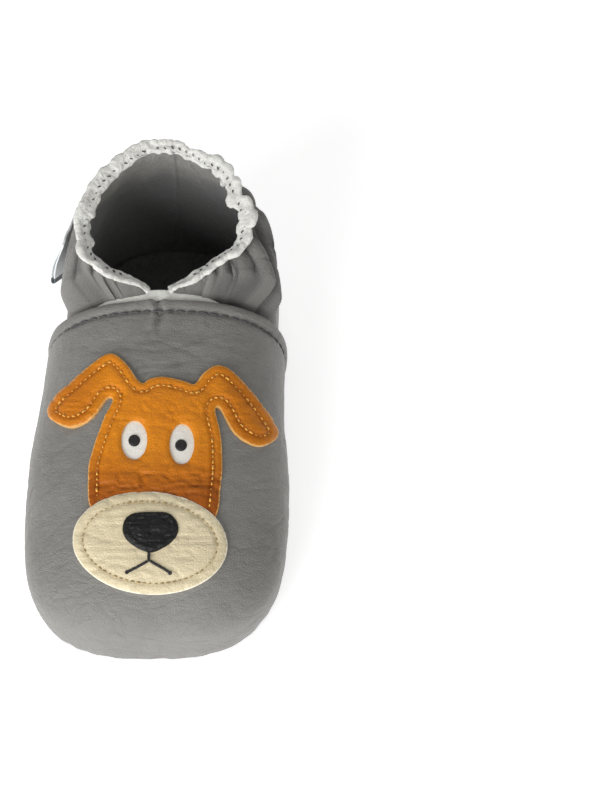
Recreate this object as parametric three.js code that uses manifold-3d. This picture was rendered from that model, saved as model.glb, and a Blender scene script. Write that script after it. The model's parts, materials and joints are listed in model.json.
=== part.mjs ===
// A soft-soled baby bootie for the right foot: a grey leather toe piece with a puppy's face sewn on it,
// two gathered leather quarters round the heel, an elastic collar with a pale binding, and a suede sole.
// Millimetres. +Z is up, the toe points to -Y, and the sole rests on z = 0.
import * as THREE from "three";
import { mergeVertices } from "three/addons/utils/BufferGeometryUtils.js";
import Module from "manifold-3d";

const wasm = await Module();
wasm.setup();

// Overall sizes.
const LENGTH = 132;
const BALL_WIDTH = 67.6;
const WAIST_WIDTH = 56.6;
const HEEL_WIDTH = 56.8;
const COLLAR_HEIGHT = 58;
const COLLAR_SIDE_HEIGHT = 50;
const COLLAR_CORNER_HEIGHT = 46;
const INSTEP_HEIGHT = 39.5;
const TOE_HEIGHT = 31;
const HEEL_OFFSET = 4; // the heel's centre line lies to +X of the toe's

// Layers, from the sole up and from the foot outwards.
const SOLE = 1.5;
const PADDING = 2;
const INSOLE = 0.9;
const LEATHER = 1.2;
const LINING = 0.8;
const PATCH = 1.8; // thickness of the sewn-on leather shapes
const EYE_PATCH = 0.6;
const THREAD = 0.5;
const GAP = 0.3; // clearance between touching pieces
const LAP_GAP = 0.4; // clearance between the toe piece and the quarters under it
const SEAM_ROOM = 1; // from the linings in to the sole's seam
const SOLE_EDGE = 0.6; // how far the sole's edge stands out from the quarters

// Lengths along the bootie, from the tip of the toe.
const VAMP_LENGTH = 86;
const LINING_SHOWS = 2.3; // how far the toe piece's lining stands out behind its edge
const LAP = 11; // how far the quarters run under the toe piece
const CORNER_SETBACK = 6.4; // from the toe piece's edge to the collar's front corners
const COLLAR_SETBACK = 9; // how far the collar's back leans in from the heel

// The collar.
const BINDING_DEPTH = 3; // how far the binding reaches down the quarters
const BINDING = 0.9; // thickness of the binding
const ELASTIC = 1;
const ELASTIC_START = 3; // from the front corners back to the ends of the elastic
const V_SLOPE = 0.4; // rise of the collar's front edge from its middle to its corners
const V_GAP = 5; // between the quarters' front ends

// The label: a folded ribbon that hangs on its stitched top edge.
const LABEL_LENGTH = 19;
const LABEL_WIDTH = 11;
const RIBBON = 0.4;
const LABEL_OPEN = 0.5; // between the ribbon's two layers
const LABEL_TILT = THREE.MathUtils.degToRad(13);
const LABEL_TURN = THREE.MathUtils.degToRad(-10);
const LABEL_DROP = 1.6; // from the binding's lower edge
const LABEL_GAP = 1.6; // clearance to the quarter
const LABEL_SETBACK = 11.6; // from the collar's front corners back to the label's middle

// The face lies on a plane tilted back from the toe, which is also the direction its shapes are cut in.
// Its outlines are drawn for a toe piece FACE_DRAWN_FOR long, and are scaled to fit the one there is.
const FACE_TILT = THREE.MathUtils.degToRad(55);
const FACE_DRAWN_FOR = 86;
const FACE_SETBACK = 20; // from the toe piece's edge to the drawing's origin, at that length
const STITCH_INSET = 2;
const EYE_LAP = 1.5;
const NOSE_HEIGHT = 2;

const TOE_Y = -LENGTH / 2;
const HEEL_Y = LENGTH / 2;
const VAMP_EDGE_Y = TOE_Y + VAMP_LENGTH;
const CORNER_Y = VAMP_EDGE_Y + CORNER_SETBACK;
const COLLAR_BACK_Y = HEEL_Y - COLLAR_SETBACK;

// Distances of the layers from the outside of the quarters.
const QUARTER = [-LEATHER, 0];
const QUARTER_LINING = [-LEATHER - GAP - LINING, -LEATHER - GAP];
const VAMP_LINING = [LAP_GAP, LAP_GAP + LINING];
const VAMP = [VAMP_LINING[1] + GAP, VAMP_LINING[1] + GAP + LEATHER];
const FACE = [VAMP[1] + GAP, VAMP[1] + GAP + PATCH];
const EYES = [VAMP[1] + GAP, VAMP[1] + GAP + EYE_PATCH];
const UNDER_FACE = EYES[1] + GAP;
const ON_FACE = FACE[1] + GAP;

// The bootie's form, as cross-sections along its length.
const HALF = (HEEL_Y - TOE_Y - VAMP[1]) / 2;
const MIDDLE_Y = HEEL_Y - HALF;
const END_POWER = 3.6;
const TOE_POWER = 2.3;
const HEEL_TOP_POWER = 2.6;
const SIDE_DOME = 11; // how far above the collar the quarters' walls would meet, were they not cut
const BACK_DOME = 2.3;
const LOW_POWER = 2.2;
const TUCK = 0.6;
const SEGMENTS_ROUND = 30;
const SEGMENTS_LONG = 17;

// A smooth curve through [share of the length, value] pairs.
function profile(pairs) {
  const places = pairs.map(([share]) => TOE_Y + share * LENGTH);
  const values = pairs.map(([, value]) => value);
  const curve = new THREE.CubicInterpolant(places, values, 1);
  return (y) => curve.evaluate(THREE.MathUtils.clamp(y, TOE_Y, HEEL_Y))[0];
}

const ball = BALL_WIDTH / 2 - VAMP[1];
const waist = WAIST_WIDTH / 2;
const heel = HEEL_WIDTH / 2;
const halfWidth = profile([
  [0, ball * 1.09], [0.12, ball * 1.08], [0.24, ball * 1.03], [0.38, ball * 0.99], [0.5, waist * 1.03],
  [0.62, waist], [0.68, waist * 1.01], [0.8, heel * 1.05], [0.9, heel * 1.09], [1, heel * 1.1],
]);
const centreX = profile([
  [0, -1], [0.25, 0], [0.5, 0.22 * HEEL_OFFSET], [0.66, 0.6 * HEEL_OFFSET], [0.8, HEEL_OFFSET], [1, HEEL_OFFSET],
]);
const beltHeight = profile([[0, 12], [0.5, 15], [1, 20]]);
const vampTop = profile([
  [0, TOE_HEIGHT - 3], [0.25, TOE_HEIGHT - 2], [0.4, TOE_HEIGHT], [VAMP_LENGTH / LENGTH, INSTEP_HEIGHT - VAMP[1]],
  [1, INSTEP_HEIGHT + 4],
]);

function quarterTop(y) {
  const under = vampTop(y);
  const rise = THREE.MathUtils.smoothstep(y, VAMP_EDGE_Y + 1, CORNER_Y + 2);
  const dome = COLLAR_SIDE_HEIGHT + SIDE_DOME +
    (COLLAR_HEIGHT - COLLAR_SIDE_HEIGHT) * BACK_DOME * THREE.MathUtils.smoothstep(y, CORNER_Y, COLLAR_BACK_Y);
  return THREE.MathUtils.lerp(under, dome, rise);
}

// How far a superellipse has closed at a share of its half length.
function closing(share, power) {
  return Math.pow(Math.max(0, 1 - Math.pow(Math.abs(share), power)), 1 / power);
}

// One point of the form: station runs from -1 at the toe to 1 at the heel, across and up are the sine
// and cosine round the cross-section, and offset is the distance out from the quarters' outer face.
function formPoint(station, across, up, offset, top, power, tuck) {
  const y = MIDDLE_Y + HALF * station;
  const close = closing(station, END_POWER);
  const closeTop = closing(station, station < 0 ? TOE_POWER : HEEL_TOP_POWER);
  const belt = beltHeight(y);
  const width = (halfWidth(y) + offset - tuck) * close;
  const rise = (top(y) - belt + offset - tuck) * closeTop;
  const drop = (belt * 2.1 + offset) * close;
  const bend = up > 0 ? 2 / power : 2 / LOW_POWER;
  const x = centreX(y) + Math.sign(across) * width * Math.pow(Math.abs(across), bend);
  const z = belt + Math.sign(up) * (up > 0 ? rise : drop) * Math.pow(Math.abs(up), bend);
  return new THREE.Vector3(x, MIDDLE_Y + (HALF + offset) * station, z);
}

// A closed mesh becomes a solid once its shared vertices are merged.
function solid(geometry) {
  geometry.deleteAttribute("normal");
  geometry.deleteAttribute("uv");
  const merged = mergeVertices(geometry, 1e-4);
  return new wasm.Manifold(new wasm.Mesh({
    numProp: 3,
    vertProperties: merged.attributes.position.array,
    triVerts: new Uint32Array(merged.index.array),
  }));
}

// Trimming can leave loose scraps. The piece is the largest body.
function withoutScraps(made) {
  return made.decompose().reduce((most, body) => (body.volume() > most.volume() ? body : most));
}

// A closed body in the bootie's form between two stations, made by reshaping a sphere whose poles are the ends.
function formBody(offset, stationAt, top, powerAt, tuckAt) {
  const geometry = new THREE.SphereGeometry(1, SEGMENTS_ROUND, SEGMENTS_LONG);
  const position = geometry.attributes.position;
  const point = new THREE.Vector3();
  for (let i = 0; i < position.count; i++) {
    point.fromBufferAttribute(position, i);
    const round = Math.hypot(point.x, point.z);
    const station = stationAt(Math.acos(THREE.MathUtils.clamp(point.y, -1, 1)) / Math.PI);
    const y = MIDDLE_Y + HALF * station;
    const across = round > 1e-6 ? point.x / round : 0;
    const up = round > 1e-6 ? point.z / round : 0;
    const spot = round > 1e-6
      ? formPoint(station, across, up, offset, top, powerAt(y), tuckAt(y))
      : new THREE.Vector3(centreX(y), MIDDLE_Y + (HALF + offset) * station, beltHeight(y));
    position.setXYZ(i, spot.x, spot.y, spot.z);
  }
  return solid(geometry);
}

const stationOf = (y) => (y - MIDDLE_Y) / HALF;
const noTuck = () => 0;
const ROUND_POWER = 2.3;
const SQUARE_POWER = 2.5;

function vampBody(offset) {
  const back = stationOf(VAMP_EDGE_Y + 16);
  const stationAt = (t) => back - (1 + back) * Math.sin(t * Math.PI / 2);
  return formBody(offset, stationAt, vampTop, () => ROUND_POWER, noTuck);
}

function quarterBody(offset) {
  const front = stationOf(VAMP_EDGE_Y - LAP - 10);
  const stationAt = (t) => front + (1 - front) * Math.cos(t * Math.PI / 2);
  const risen = (y) => THREE.MathUtils.smoothstep(y, VAMP_EDGE_Y, CORNER_Y);
  const powerAt = (y) => THREE.MathUtils.lerp(ROUND_POWER, SQUARE_POWER, risen(y));
  return formBody(offset, stationAt, quarterTop, powerAt, (y) => TUCK * (1 - risen(y)));
}

function soleBody(offset) {
  return formBody(offset, (t) => Math.cos(t * Math.PI), () => TOE_HEIGHT, () => ROUND_POWER, noTuck);
}

// Cutting blocks.
const FAR = 3 * LENGTH;
const side = new THREE.Matrix4().makeBasis(
  new THREE.Vector3(0, 1, 0), new THREE.Vector3(0, 0, 1), new THREE.Vector3(1, 0, 0));
const front = new THREE.Matrix4().makeBasis(
  new THREE.Vector3(1, 0, 0), new THREE.Vector3(0, 0, 1), new THREE.Vector3(0, -1, 0));
const faceScale = VAMP_LENGTH / FACE_DRAWN_FOR;
const facing = new THREE.Matrix4().makeBasis(
  new THREE.Vector3(faceScale, 0, 0),
  new THREE.Vector3(0, Math.sin(FACE_TILT), Math.cos(FACE_TILT)).multiplyScalar(faceScale),
  new THREE.Vector3(0, -Math.cos(FACE_TILT), Math.sin(FACE_TILT)))
  .setPosition(0, VAMP_EDGE_Y - FACE_SETBACK * faceScale, 0);

function block(low, high) {
  const size = [0, 1, 2].map((k) => high[k] - low[k]);
  const middle = [0, 1, 2].map((k) => (high[k] + low[k]) / 2);
  return solid(new THREE.BoxGeometry(...size).translate(...middle));
}

// A flat outline pushed through along the third axis of its basis, from start to end.
function prism(shape, basis, start, end, curveSegments = 12) {
  const geometry = new THREE.ExtrudeGeometry(shape, { depth: end - start, bevelEnabled: false, curveSegments });
  return solid(geometry.translate(0, 0, start).applyMatrix4(basis));
}

const aboveSole = () => block([-FAR, -FAR, SOLE + GAP], [FAR, FAR, FAR]);
const ahead = (y) => block([-FAR, -FAR, -FAR], [FAR, y, FAR]);
const shell = (body, [inner, outer]) => body(outer).subtract(body(inner));

// The space below the collar's top line, raised by lift: a side profile with a V cut down its front.
function belowCollar(lift) {
  const line = new THREE.SplineCurve([
    [VAMP_EDGE_Y - 8, INSTEP_HEIGHT - 4], [VAMP_EDGE_Y + 2, INSTEP_HEIGHT - 1],
    [CORNER_Y, COLLAR_CORNER_HEIGHT], [CORNER_Y + 10, COLLAR_SIDE_HEIGHT],
    [COLLAR_BACK_Y - 9, (COLLAR_SIDE_HEIGHT + 2 * COLLAR_HEIGHT) / 3], [COLLAR_BACK_Y, COLLAR_HEIGHT],
    [HEEL_Y + 10, COLLAR_HEIGHT + 2],
  ].map(([y, z]) => new THREE.Vector2(y, z + lift)));
  const points = line.getSpacedPoints(24);
  const shape = new THREE.Shape([
    new THREE.Vector2(HEEL_Y + 10, -FAR), new THREE.Vector2(HEEL_Y + 10, COLLAR_HEIGHT + 2 + lift),
    ...points.reverse().slice(1), new THREE.Vector2(VAMP_EDGE_Y - 60, INSTEP_HEIGHT - 4 + lift),
    new THREE.Vector2(VAMP_EDGE_Y - 60, -FAR),
  ]);
  const middle = centreX(CORNER_Y);
  const low = INSTEP_HEIGHT - 2 + lift;
  const reach = BALL_WIDTH;
  const wedge = new THREE.Shape([
    new THREE.Vector2(middle, low), new THREE.Vector2(middle + reach, low + reach * V_SLOPE),
    new THREE.Vector2(middle + reach, FAR), new THREE.Vector2(middle - reach, FAR),
    new THREE.Vector2(middle - reach, low + reach * V_SLOPE),
  ]);
  return prism(shape, side, -FAR, FAR).subtract(prism(wedge, front, -CORNER_Y - 3, FAR));
}

// What the quarters and the collar must leave free for the toe piece and its lining.
const lapRoom = () => ahead(VAMP_EDGE_Y + LINING_SHOWS + GAP).subtract(vampBody(VAMP_LINING[0] - GAP));

function quarterSide(range, sign) {
  const edge = ELASTIC + 2 * GAP;
  const seam = centreX(HEEL_Y) + sign * GAP / 2;
  const half = sign < 0 ? block([-FAR, -FAR, -FAR], [seam, FAR, FAR]) : block([seam, -FAR, -FAR], [FAR, FAR, FAR]);
  const middle = centreX(CORNER_Y);
  const frontGap = block(
    [middle - V_GAP / 2, -FAR, INSTEP_HEIGHT / 2], [middle + V_GAP / 2, CORNER_Y + 4, FAR]);
  return shell(quarterBody, range).intersect(aboveSole()).intersect(belowCollar(-edge - BINDING))
    .subtract(lapRoom()).subtract(ahead(VAMP_EDGE_Y - LAP)).subtract(frontGap).intersect(half);
}

function collarPart(range, low, high, startY) {
  const middle = centreX(CORNER_Y);
  const frontGap = block([middle - V_GAP / 2, -FAR, 0], [middle + V_GAP / 2, CORNER_Y + 4, FAR]);
  return withoutScraps(shell(quarterBody, range).intersect(belowCollar(high)).subtract(belowCollar(low))
    .subtract(ahead(startY)).subtract(frontGap));
}

const collarInside = [QUARTER_LINING[0] - GAP, GAP];
const collarStartY = VAMP_EDGE_Y + LINING_SHOWS + GAP;

function collarBinding() {
  const range = [collarInside[0] - BINDING, collarInside[1] + BINDING];
  const slot = collarPart(collarInside, -FAR, -BINDING, collarStartY - 5);
  return collarPart(range, -BINDING_DEPTH, 0, collarStartY).subtract(slot);
}

function elasticBand() {
  const range = [QUARTER_LINING[0] + GAP, -GAP];
  const top = -BINDING - GAP;
  return collarPart(range, top - ELASTIC, top, CORNER_Y + ELASTIC_START);
}

// The toe piece and its lining, whose back edge is a shallow arc.
function vampPiece() {
  return shell(vampBody, VAMP).intersect(aboveSole()).intersect(ahead(VAMP_EDGE_Y));
}

function vampLining() {
  const edge = new THREE.Shape();
  const x = centreX(VAMP_EDGE_Y);
  const reach = BALL_WIDTH / 4;
  edge.moveTo(-FAR, -FAR);
  edge.lineTo(FAR, -FAR);
  edge.lineTo(FAR, VAMP_EDGE_Y);
  edge.lineTo(x + reach, VAMP_EDGE_Y);
  edge.quadraticCurveTo(x, VAMP_EDGE_Y + 2 * LINING_SHOWS, x - reach, VAMP_EDGE_Y);
  edge.lineTo(-FAR, VAMP_EDGE_Y);
  const flat = new THREE.Matrix4();
  return shell(vampBody, VAMP_LINING).intersect(aboveSole()).intersect(prism(edge, flat, -FAR, FAR));
}

function soleLayer(offset, low, high) {
  return soleBody(offset).intersect(block([-FAR, -FAR, low], [FAR, FAR, high]));
}

// The puppy's face: outlines in its own plane, x to the right and y up.
const HEAD_OUTLINE = [
  [-3.9, 17.2], [-7.6, 22], [-11.2, 24.6], [-15, 23], [-21.5, 17.5], [-26.6, 12.4], [-27, 8.4], [-21.5, 5.9],
  [-16, 8.2], [-12.2, 13.2], [-10.9, 12.6], [-12.8, 8.4], [-15.3, 1.1], [-16.6, -6], [-14.5, -16], [0, -19],
  [14, -18], [16.6, -9], [16.8, 0], [16.2, 5], [15, 10.2], [16.4, 10.4], [20.2, 4.1], [26.2, 1],
  [30.6, 4.4], [25.8, 12.6], [19.4, 19.8], [15.4, 21.6], [12, 19.6], [9.8, 16.8], [7, 17.6], [2.1, 18.7], [-1.4, 18.2],
];
const MUZZLE = { x: -0.9, y: -23.1, wide: 19.3, high: 12.5, turn: THREE.MathUtils.degToRad(-4) };
const EYE_LEFT = { x: -5.2, y: 2.6, wide: 3.3, high: 4.9, turn: 0 };
const EYE_RIGHT = { x: 6.8, y: 1.6, wide: 3.1, high: 5.1, turn: 0 };
const PUPIL_RADIUS = 1.35;
const EYE_SIDES = 20;
const NOSE = { x: -0.8, top: -16, bottom: -25.7, wide: 7, shoulder: 5 };
const MOUTH = { stem: 1.7, reach: 5.4, drop: 2.9, stroke: 0.7 };

const closedLine = (pairs) => {
  const points = pairs.map(([x, y]) => new THREE.Vector3(x, y, 0));
  return new THREE.CatmullRomCurve3(points, true, "centripetal").getPoints(pairs.length * 2).slice(0, -1);
};

// The outline moved inwards by inset, along each point's own normal.
function insetLine(points, inset) {
  return points.map((point, i) => {
    const before = points[(i + points.length - 1) % points.length];
    const after = points[(i + 1) % points.length];
    const along = after.clone().sub(before).normalize();
    return new THREE.Vector2(point.x - along.y * inset, point.y + along.x * inset);
  });
}

function ellipseLine({ x, y, wide, high, turn }, inset, segments = 32) {
  const curve = new THREE.EllipseCurve(x, y, wide - inset, high - inset, 0, 2 * Math.PI, false, turn);
  return curve.getPoints(segments).slice(0, -1);
}

const headLine = (inset) => insetLine(closedLine(HEAD_OUTLINE), inset);
const onTop = () => block([-FAR, -FAR, beltHeight(TOE_Y)], [FAR, FAR, FAR]);
const through = (points) => prism(new THREE.Shape(points), facing, -FAR, FAR).intersect(onTop());

// A strip as wide as a thread that follows a closed outline.
function ring(line, inset) {
  const shape = new THREE.Shape(line(inset - THREAD / 2));
  shape.holes.push(new THREE.Path(line(inset + THREAD / 2)));
  return prism(shape, facing, -FAR, FAR).intersect(onTop());
}

const eyePocket = (eye) => through(ellipseLine(eye, -EYE_LAP - GAP, EYE_SIDES)).intersect(vampBody(UNDER_FACE));

// The head's lower end is pared thin where it runs under the muzzle.
function headPiece() {
  const pared = through(ellipseLine(MUZZLE, -GAP)).subtract(vampBody(EYES[1]));
  let head = shell(vampBody, FACE).intersect(through(headLine(0))).subtract(pared);
  for (const eye of [EYE_LEFT, EYE_RIGHT]) {
    head = head.subtract(eyePocket(eye)).subtract(through(ellipseLine(eye, 0, EYE_SIDES)));
  }
  return head;
}

function muzzlePiece() {
  const underneath = through(headLine(-GAP)).intersect(vampBody(UNDER_FACE));
  return shell(vampBody, FACE).intersect(through(ellipseLine(MUZZLE, 0))).subtract(underneath);
}

const eyePiece = (eye) => shell(vampBody, EYES).intersect(through(ellipseLine(eye, -EYE_LAP, EYE_SIDES)));

function pupilPiece(eye) {
  const round = { ...eye, wide: PUPIL_RADIUS, high: PUPIL_RADIUS };
  return shell(vampBody, [UNDER_FACE, UNDER_FACE + THREAD]).intersect(through(ellipseLine(round, 0, EYE_SIDES)));
}

function noseShape() {
  const shape = new THREE.Shape();
  const middle = (NOSE.top + NOSE.bottom) / 2 + 1;
  shape.moveTo(NOSE.x - NOSE.shoulder, NOSE.top);
  shape.lineTo(NOSE.x + NOSE.shoulder, NOSE.top);
  shape.quadraticCurveTo(NOSE.x + NOSE.wide, NOSE.top, NOSE.x + NOSE.wide, middle);
  shape.bezierCurveTo(NOSE.x + NOSE.wide, middle - 3, NOSE.x + 3, NOSE.bottom + 1, NOSE.x, NOSE.bottom);
  shape.bezierCurveTo(NOSE.x - 3, NOSE.bottom + 1, NOSE.x - NOSE.wide, middle - 3, NOSE.x - NOSE.wide, middle);
  shape.quadraticCurveTo(NOSE.x - NOSE.wide, NOSE.top, NOSE.x - NOSE.shoulder, NOSE.top);
  return shape;
}

function nosePiece() {
  return shell(vampBody, [ON_FACE, ON_FACE + NOSE_HEIGHT]).intersect(prism(noseShape(), facing, -FAR, FAR, 8).intersect(onTop()));
}

// The mouth: a short stem below the nose that parts into two slanting strokes.
function mouthPiece() {
  const { stem, reach, drop, stroke } = MOUTH;
  const half = stroke / 2;
  const top = NOSE.bottom - GAP;
  const fork = top - stem;
  const shape = new THREE.Shape([
    [half, top], [half, fork], [reach + half, fork - drop], [reach - half, fork - drop - stroke], [0, fork - stroke],
    [-reach + half, fork - drop - stroke], [-reach - half, fork - drop], [-half, fork], [-half, top],
  ].map(([x, y]) => new THREE.Vector2(NOSE.x + x, y)).reverse());
  return shell(vampBody, [ON_FACE, ON_FACE + THREAD]).intersect(prism(shape, facing, -FAR, FAR)).intersect(onTop());
}

// Threads.
const onFaceThread = (line) => shell(vampBody, [ON_FACE, ON_FACE + THREAD]).intersect(ring(line, STITCH_INSET));
const headStitch = () => onFaceThread(headLine).subtract(through(ellipseLine(MUZZLE, -GAP)));

function vampStitch() {
  const y = VAMP_EDGE_Y - 3;
  const strip = block([-FAR, y - THREAD / 2, SOLE + GAP + 3], [FAR, y + THREAD / 2, FAR]);
  return shell(vampBody, [VAMP[1] + GAP, VAMP[1] + GAP + THREAD]).intersect(strip);
}

function collarStitch() {
  const start = collarInside[1] + BINDING + GAP;
  return collarPart([start, start + THREAD], -BINDING_DEPTH / 2 - THREAD / 2, -BINDING_DEPTH / 2 + THREAD / 2,
    collarStartY);
}

function heelStitch() {
  const x = centreX(HEEL_Y);
  const strip = block([x - THREAD / 2, COLLAR_BACK_Y - 10, SOLE + GAP + 4], [x + THREAD / 2, FAR, FAR]);
  return shell(quarterBody, [GAP, GAP + THREAD]).intersect(strip).intersect(belowCollar(-BINDING_DEPTH - GAP - 1));
}

function soleStitch() {
  const outer = QUARTER_LINING[0] - SEAM_ROOM;
  return soleLayer(outer, SOLE + GAP, SOLE + GAP + 0.8)
    .subtract(soleBody(outer - 2 * THREAD));
}

// The label: a ribbon folded at its lower end, hanging from the point where it is sewn under the collar.
function labelPiece() {
  const thick = 2 * RIBBON + LABEL_OPEN;
  const shape = new THREE.Shape();
  const inner = LABEL_OPEN / 2;
  shape.moveTo(-thick / 2, 0);
  shape.lineTo(-thick / 2, -LABEL_LENGTH + thick / 2);
  shape.absarc(0, -LABEL_LENGTH + thick / 2, thick / 2, Math.PI, 2 * Math.PI, false);
  shape.lineTo(thick / 2, 0);
  shape.lineTo(inner, 0);
  shape.lineTo(inner, -LABEL_LENGTH + thick / 2);
  shape.absarc(0, -LABEL_LENGTH + thick / 2, inner, 0, Math.PI, true);
  shape.lineTo(-inner, 0);
  const geometry = new THREE.ExtrudeGeometry(
    shape, { depth: LABEL_WIDTH, bevelEnabled: false, curveSegments: 6 });
  geometry.translate(0, 0, -LABEL_WIDTH / 2);
  geometry.applyMatrix4(front);
  return solid(geometry);
}

function labelPlace() {
  const y = CORNER_Y + LABEL_SETBACK;
  const z = COLLAR_SIDE_HEIGHT - BINDING_DEPTH - LABEL_DROP;
  const belt = beltHeight(y);
  const rise = (quarterTop(y) - belt) * closing(stationOf(y), HEEL_TOP_POWER);
  const wall = halfWidth(y) * closing(stationOf(y), END_POWER) * closing((z - belt) / rise, SQUARE_POWER);
  return new THREE.Vector3(centreX(y) - wall - RIBBON - LABEL_OPEN / 2 - LABEL_GAP, y, z);
}

const leather = { roughness: 0.55, metalness: 0 };
const cloth = { roughness: 0.95, metalness: 0 };
const GREY = { color: 0x85837f, ...leather };
const ORANGE = { color: 0xcd7d1c, ...leather };
const CREAM = { color: 0xe3d5b4, ...leather };
const WHITE = { color: 0xf2f1ec, ...leather };
const BLACK = { color: 0x232326, ...leather };
const SUEDE = { color: 0x6b6762, ...cloth };
const PALE = { color: 0xe1dfda, ...cloth };
const DARK_LINING = { color: 0x5e5b57, ...cloth };
const GREY_THREAD = { color: 0x57555a, ...cloth };
const GOLD_THREAD = { color: 0xe0a63a, ...cloth };
const TAN_THREAD = { color: 0xa98a52, ...cloth };

function mesh(name, made, finish) {
  const { vertProperties, triVerts } = made.getMesh();
  const geometry = new THREE.BufferGeometry();
  geometry.setAttribute("position", new THREE.BufferAttribute(new Float32Array(vertProperties), 3));
  geometry.setIndex(new THREE.BufferAttribute(new Uint32Array(triVerts), 1));
  const result = new THREE.Mesh(geometry, new THREE.MeshStandardMaterial(finish));
  result.name = name;
  return result;
}

const innerOffset = QUARTER_LINING[0] - SEAM_ROOM - 2 * THREAD - GAP;
const paddingTop = SOLE + GAP + PADDING;
const bootie = new THREE.Group();
bootie.add(
  mesh("outsole", soleLayer(SOLE_EDGE, 0, SOLE), SUEDE),
  mesh("sole_padding", soleLayer(innerOffset, SOLE + GAP, paddingTop), PALE),
  mesh("insole", soleLayer(innerOffset, paddingTop + GAP, paddingTop + GAP + INSOLE), DARK_LINING),
  mesh("vamp", vampPiece(), GREY),
  mesh("vamp_lining", vampLining(), PALE),
  mesh("quarter_outer", quarterSide(QUARTER, -1), GREY),
  mesh("quarter_inner", quarterSide(QUARTER, 1), GREY),
  mesh("quarter_lining_outer", quarterSide(QUARTER_LINING, -1), DARK_LINING),
  mesh("quarter_lining_inner", quarterSide(QUARTER_LINING, 1), DARK_LINING),
  mesh("collar_binding", collarBinding(), PALE),
  mesh("collar_elastic", elasticBand(), WHITE),
  mesh("head_patch", headPiece(), ORANGE),
  mesh("muzzle_patch", muzzlePiece(), CREAM),
  mesh("eye_patch_left", eyePiece(EYE_LEFT), WHITE),
  mesh("eye_patch_right", eyePiece(EYE_RIGHT), WHITE),
  mesh("pupil_left", pupilPiece(EYE_LEFT), BLACK),
  mesh("pupil_right", pupilPiece(EYE_RIGHT), BLACK),
  mesh("nose", nosePiece(), BLACK),
  mesh("mouth_thread", mouthPiece(), BLACK),
  mesh("head_thread", headStitch(), GOLD_THREAD),
  mesh("muzzle_thread", onFaceThread((inset) => ellipseLine(MUZZLE, inset)), TAN_THREAD),
  mesh("vamp_thread", vampStitch(), GREY_THREAD),
  mesh("collar_thread", collarStitch(), GREY_THREAD),
  mesh("heel_thread", heelStitch(), GREY_THREAD),
  mesh("sole_thread", soleStitch(), GREY_THREAD),
);

const label = mesh("side_label", labelPiece(), WHITE);
label.position.copy(labelPlace());
label.rotation.set(0, LABEL_TILT, LABEL_TURN, "ZYX");
bootie.add(label);

// The origin is under the middle of the whole bootie.
const box = new THREE.Box3().setFromObject(bootie);
const middle = box.getCenter(new THREE.Vector3());
bootie.position.set(-middle.x, -middle.y, -box.min.z);

export default bootie;
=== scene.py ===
"""A soft leather baby bootie with a puppy's face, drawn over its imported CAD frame. Blender 4.5.

Shapes are worked out in millimetres in the row frame and written to meshes in metres. From Sole on, each
class makes one sub-assembly of the bootie: the sole, the toe piece, the quarters, the collar, the face,
the seams and the label.
"""

import json
import logging
import math
from dataclasses import dataclass, field
from enum import Enum
from typing import Callable, Sequence

import bmesh
import bpy
import numpy as np
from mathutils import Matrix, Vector
from mathutils.geometry import delaunay_2d_cdt


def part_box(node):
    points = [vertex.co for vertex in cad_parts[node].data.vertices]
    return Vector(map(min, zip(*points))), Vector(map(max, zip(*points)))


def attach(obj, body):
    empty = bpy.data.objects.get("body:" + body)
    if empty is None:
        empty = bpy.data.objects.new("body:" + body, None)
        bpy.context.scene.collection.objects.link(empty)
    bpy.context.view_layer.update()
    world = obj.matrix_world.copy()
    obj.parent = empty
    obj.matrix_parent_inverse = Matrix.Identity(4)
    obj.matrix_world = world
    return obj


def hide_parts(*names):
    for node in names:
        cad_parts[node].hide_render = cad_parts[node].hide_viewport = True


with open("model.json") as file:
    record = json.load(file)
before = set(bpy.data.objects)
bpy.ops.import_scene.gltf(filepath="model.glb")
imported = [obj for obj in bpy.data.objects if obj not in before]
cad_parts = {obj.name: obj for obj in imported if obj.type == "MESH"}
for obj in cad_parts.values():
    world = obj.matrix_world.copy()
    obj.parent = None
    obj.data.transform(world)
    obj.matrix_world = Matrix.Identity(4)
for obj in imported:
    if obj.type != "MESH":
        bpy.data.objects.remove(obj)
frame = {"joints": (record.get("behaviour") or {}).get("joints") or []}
log = logging.getLogger("bootie")

MM = 0.001

Array = np.ndarray
Colour = Triple = tuple[float, float, float]
UP = np.array([0.0, 0.0, 1.0])


class Slot(str, Enum):
    """Material slots of the record."""

    SOLE = "sole_suede"
    PADDING = "padding"
    DARK_LINING = "dark_lining"
    GREY = "grey_leather"
    PALE = "pale_suede"
    ELASTIC = "elastic"
    ORANGE = "orange_leather"
    CREAM = "cream_leather"
    WHITE = "white_leather"
    BLACK = "black_leather"
    BLACK_THREAD = "black_thread"
    GOLD_THREAD = "gold_thread"
    TAN_THREAD = "tan_thread"
    GREY_THREAD = "grey_thread"
    RIBBON = "ribbon"


class Body(str, Enum):
    """Moving bodies of the frame."""

    UPPER = "upper"
    LABEL = "label"


# ---------------------------------------------------------------- numbers


def spline(pairs: Sequence[tuple[float, float]], at: Array) -> Array:
    """A smooth curve through (place, value) pairs.

    Args:
        pairs: places in rising order, each with its value.
        at: the places to read.
    Returns:
        The values there, held level beyond both ends.
    """
    places, values = np.array(pairs, float).T
    slopes = np.gradient(values, places)
    i = np.clip(np.searchsorted(places, at) - 1, 0, len(places) - 2)
    step = places[i + 1] - places[i]
    t = np.clip((at - places[i]) / step, 0, 1)
    rest = 1 - t
    ends = values[i] * (1 + 2 * t) * rest ** 2 + values[i + 1] * t ** 2 * (3 - 2 * t)
    return ends + step * (slopes[i] * t * rest ** 2 - slopes[i + 1] * t ** 2 * rest)


def ease(x: Array, low: float, high: float) -> Array:
    """0 below low, 1 above high and smooth between them."""
    t = np.clip((np.asarray(x, float) - low) / (high - low), 0, 1)
    return t * t * (3 - 2 * t)


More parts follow.
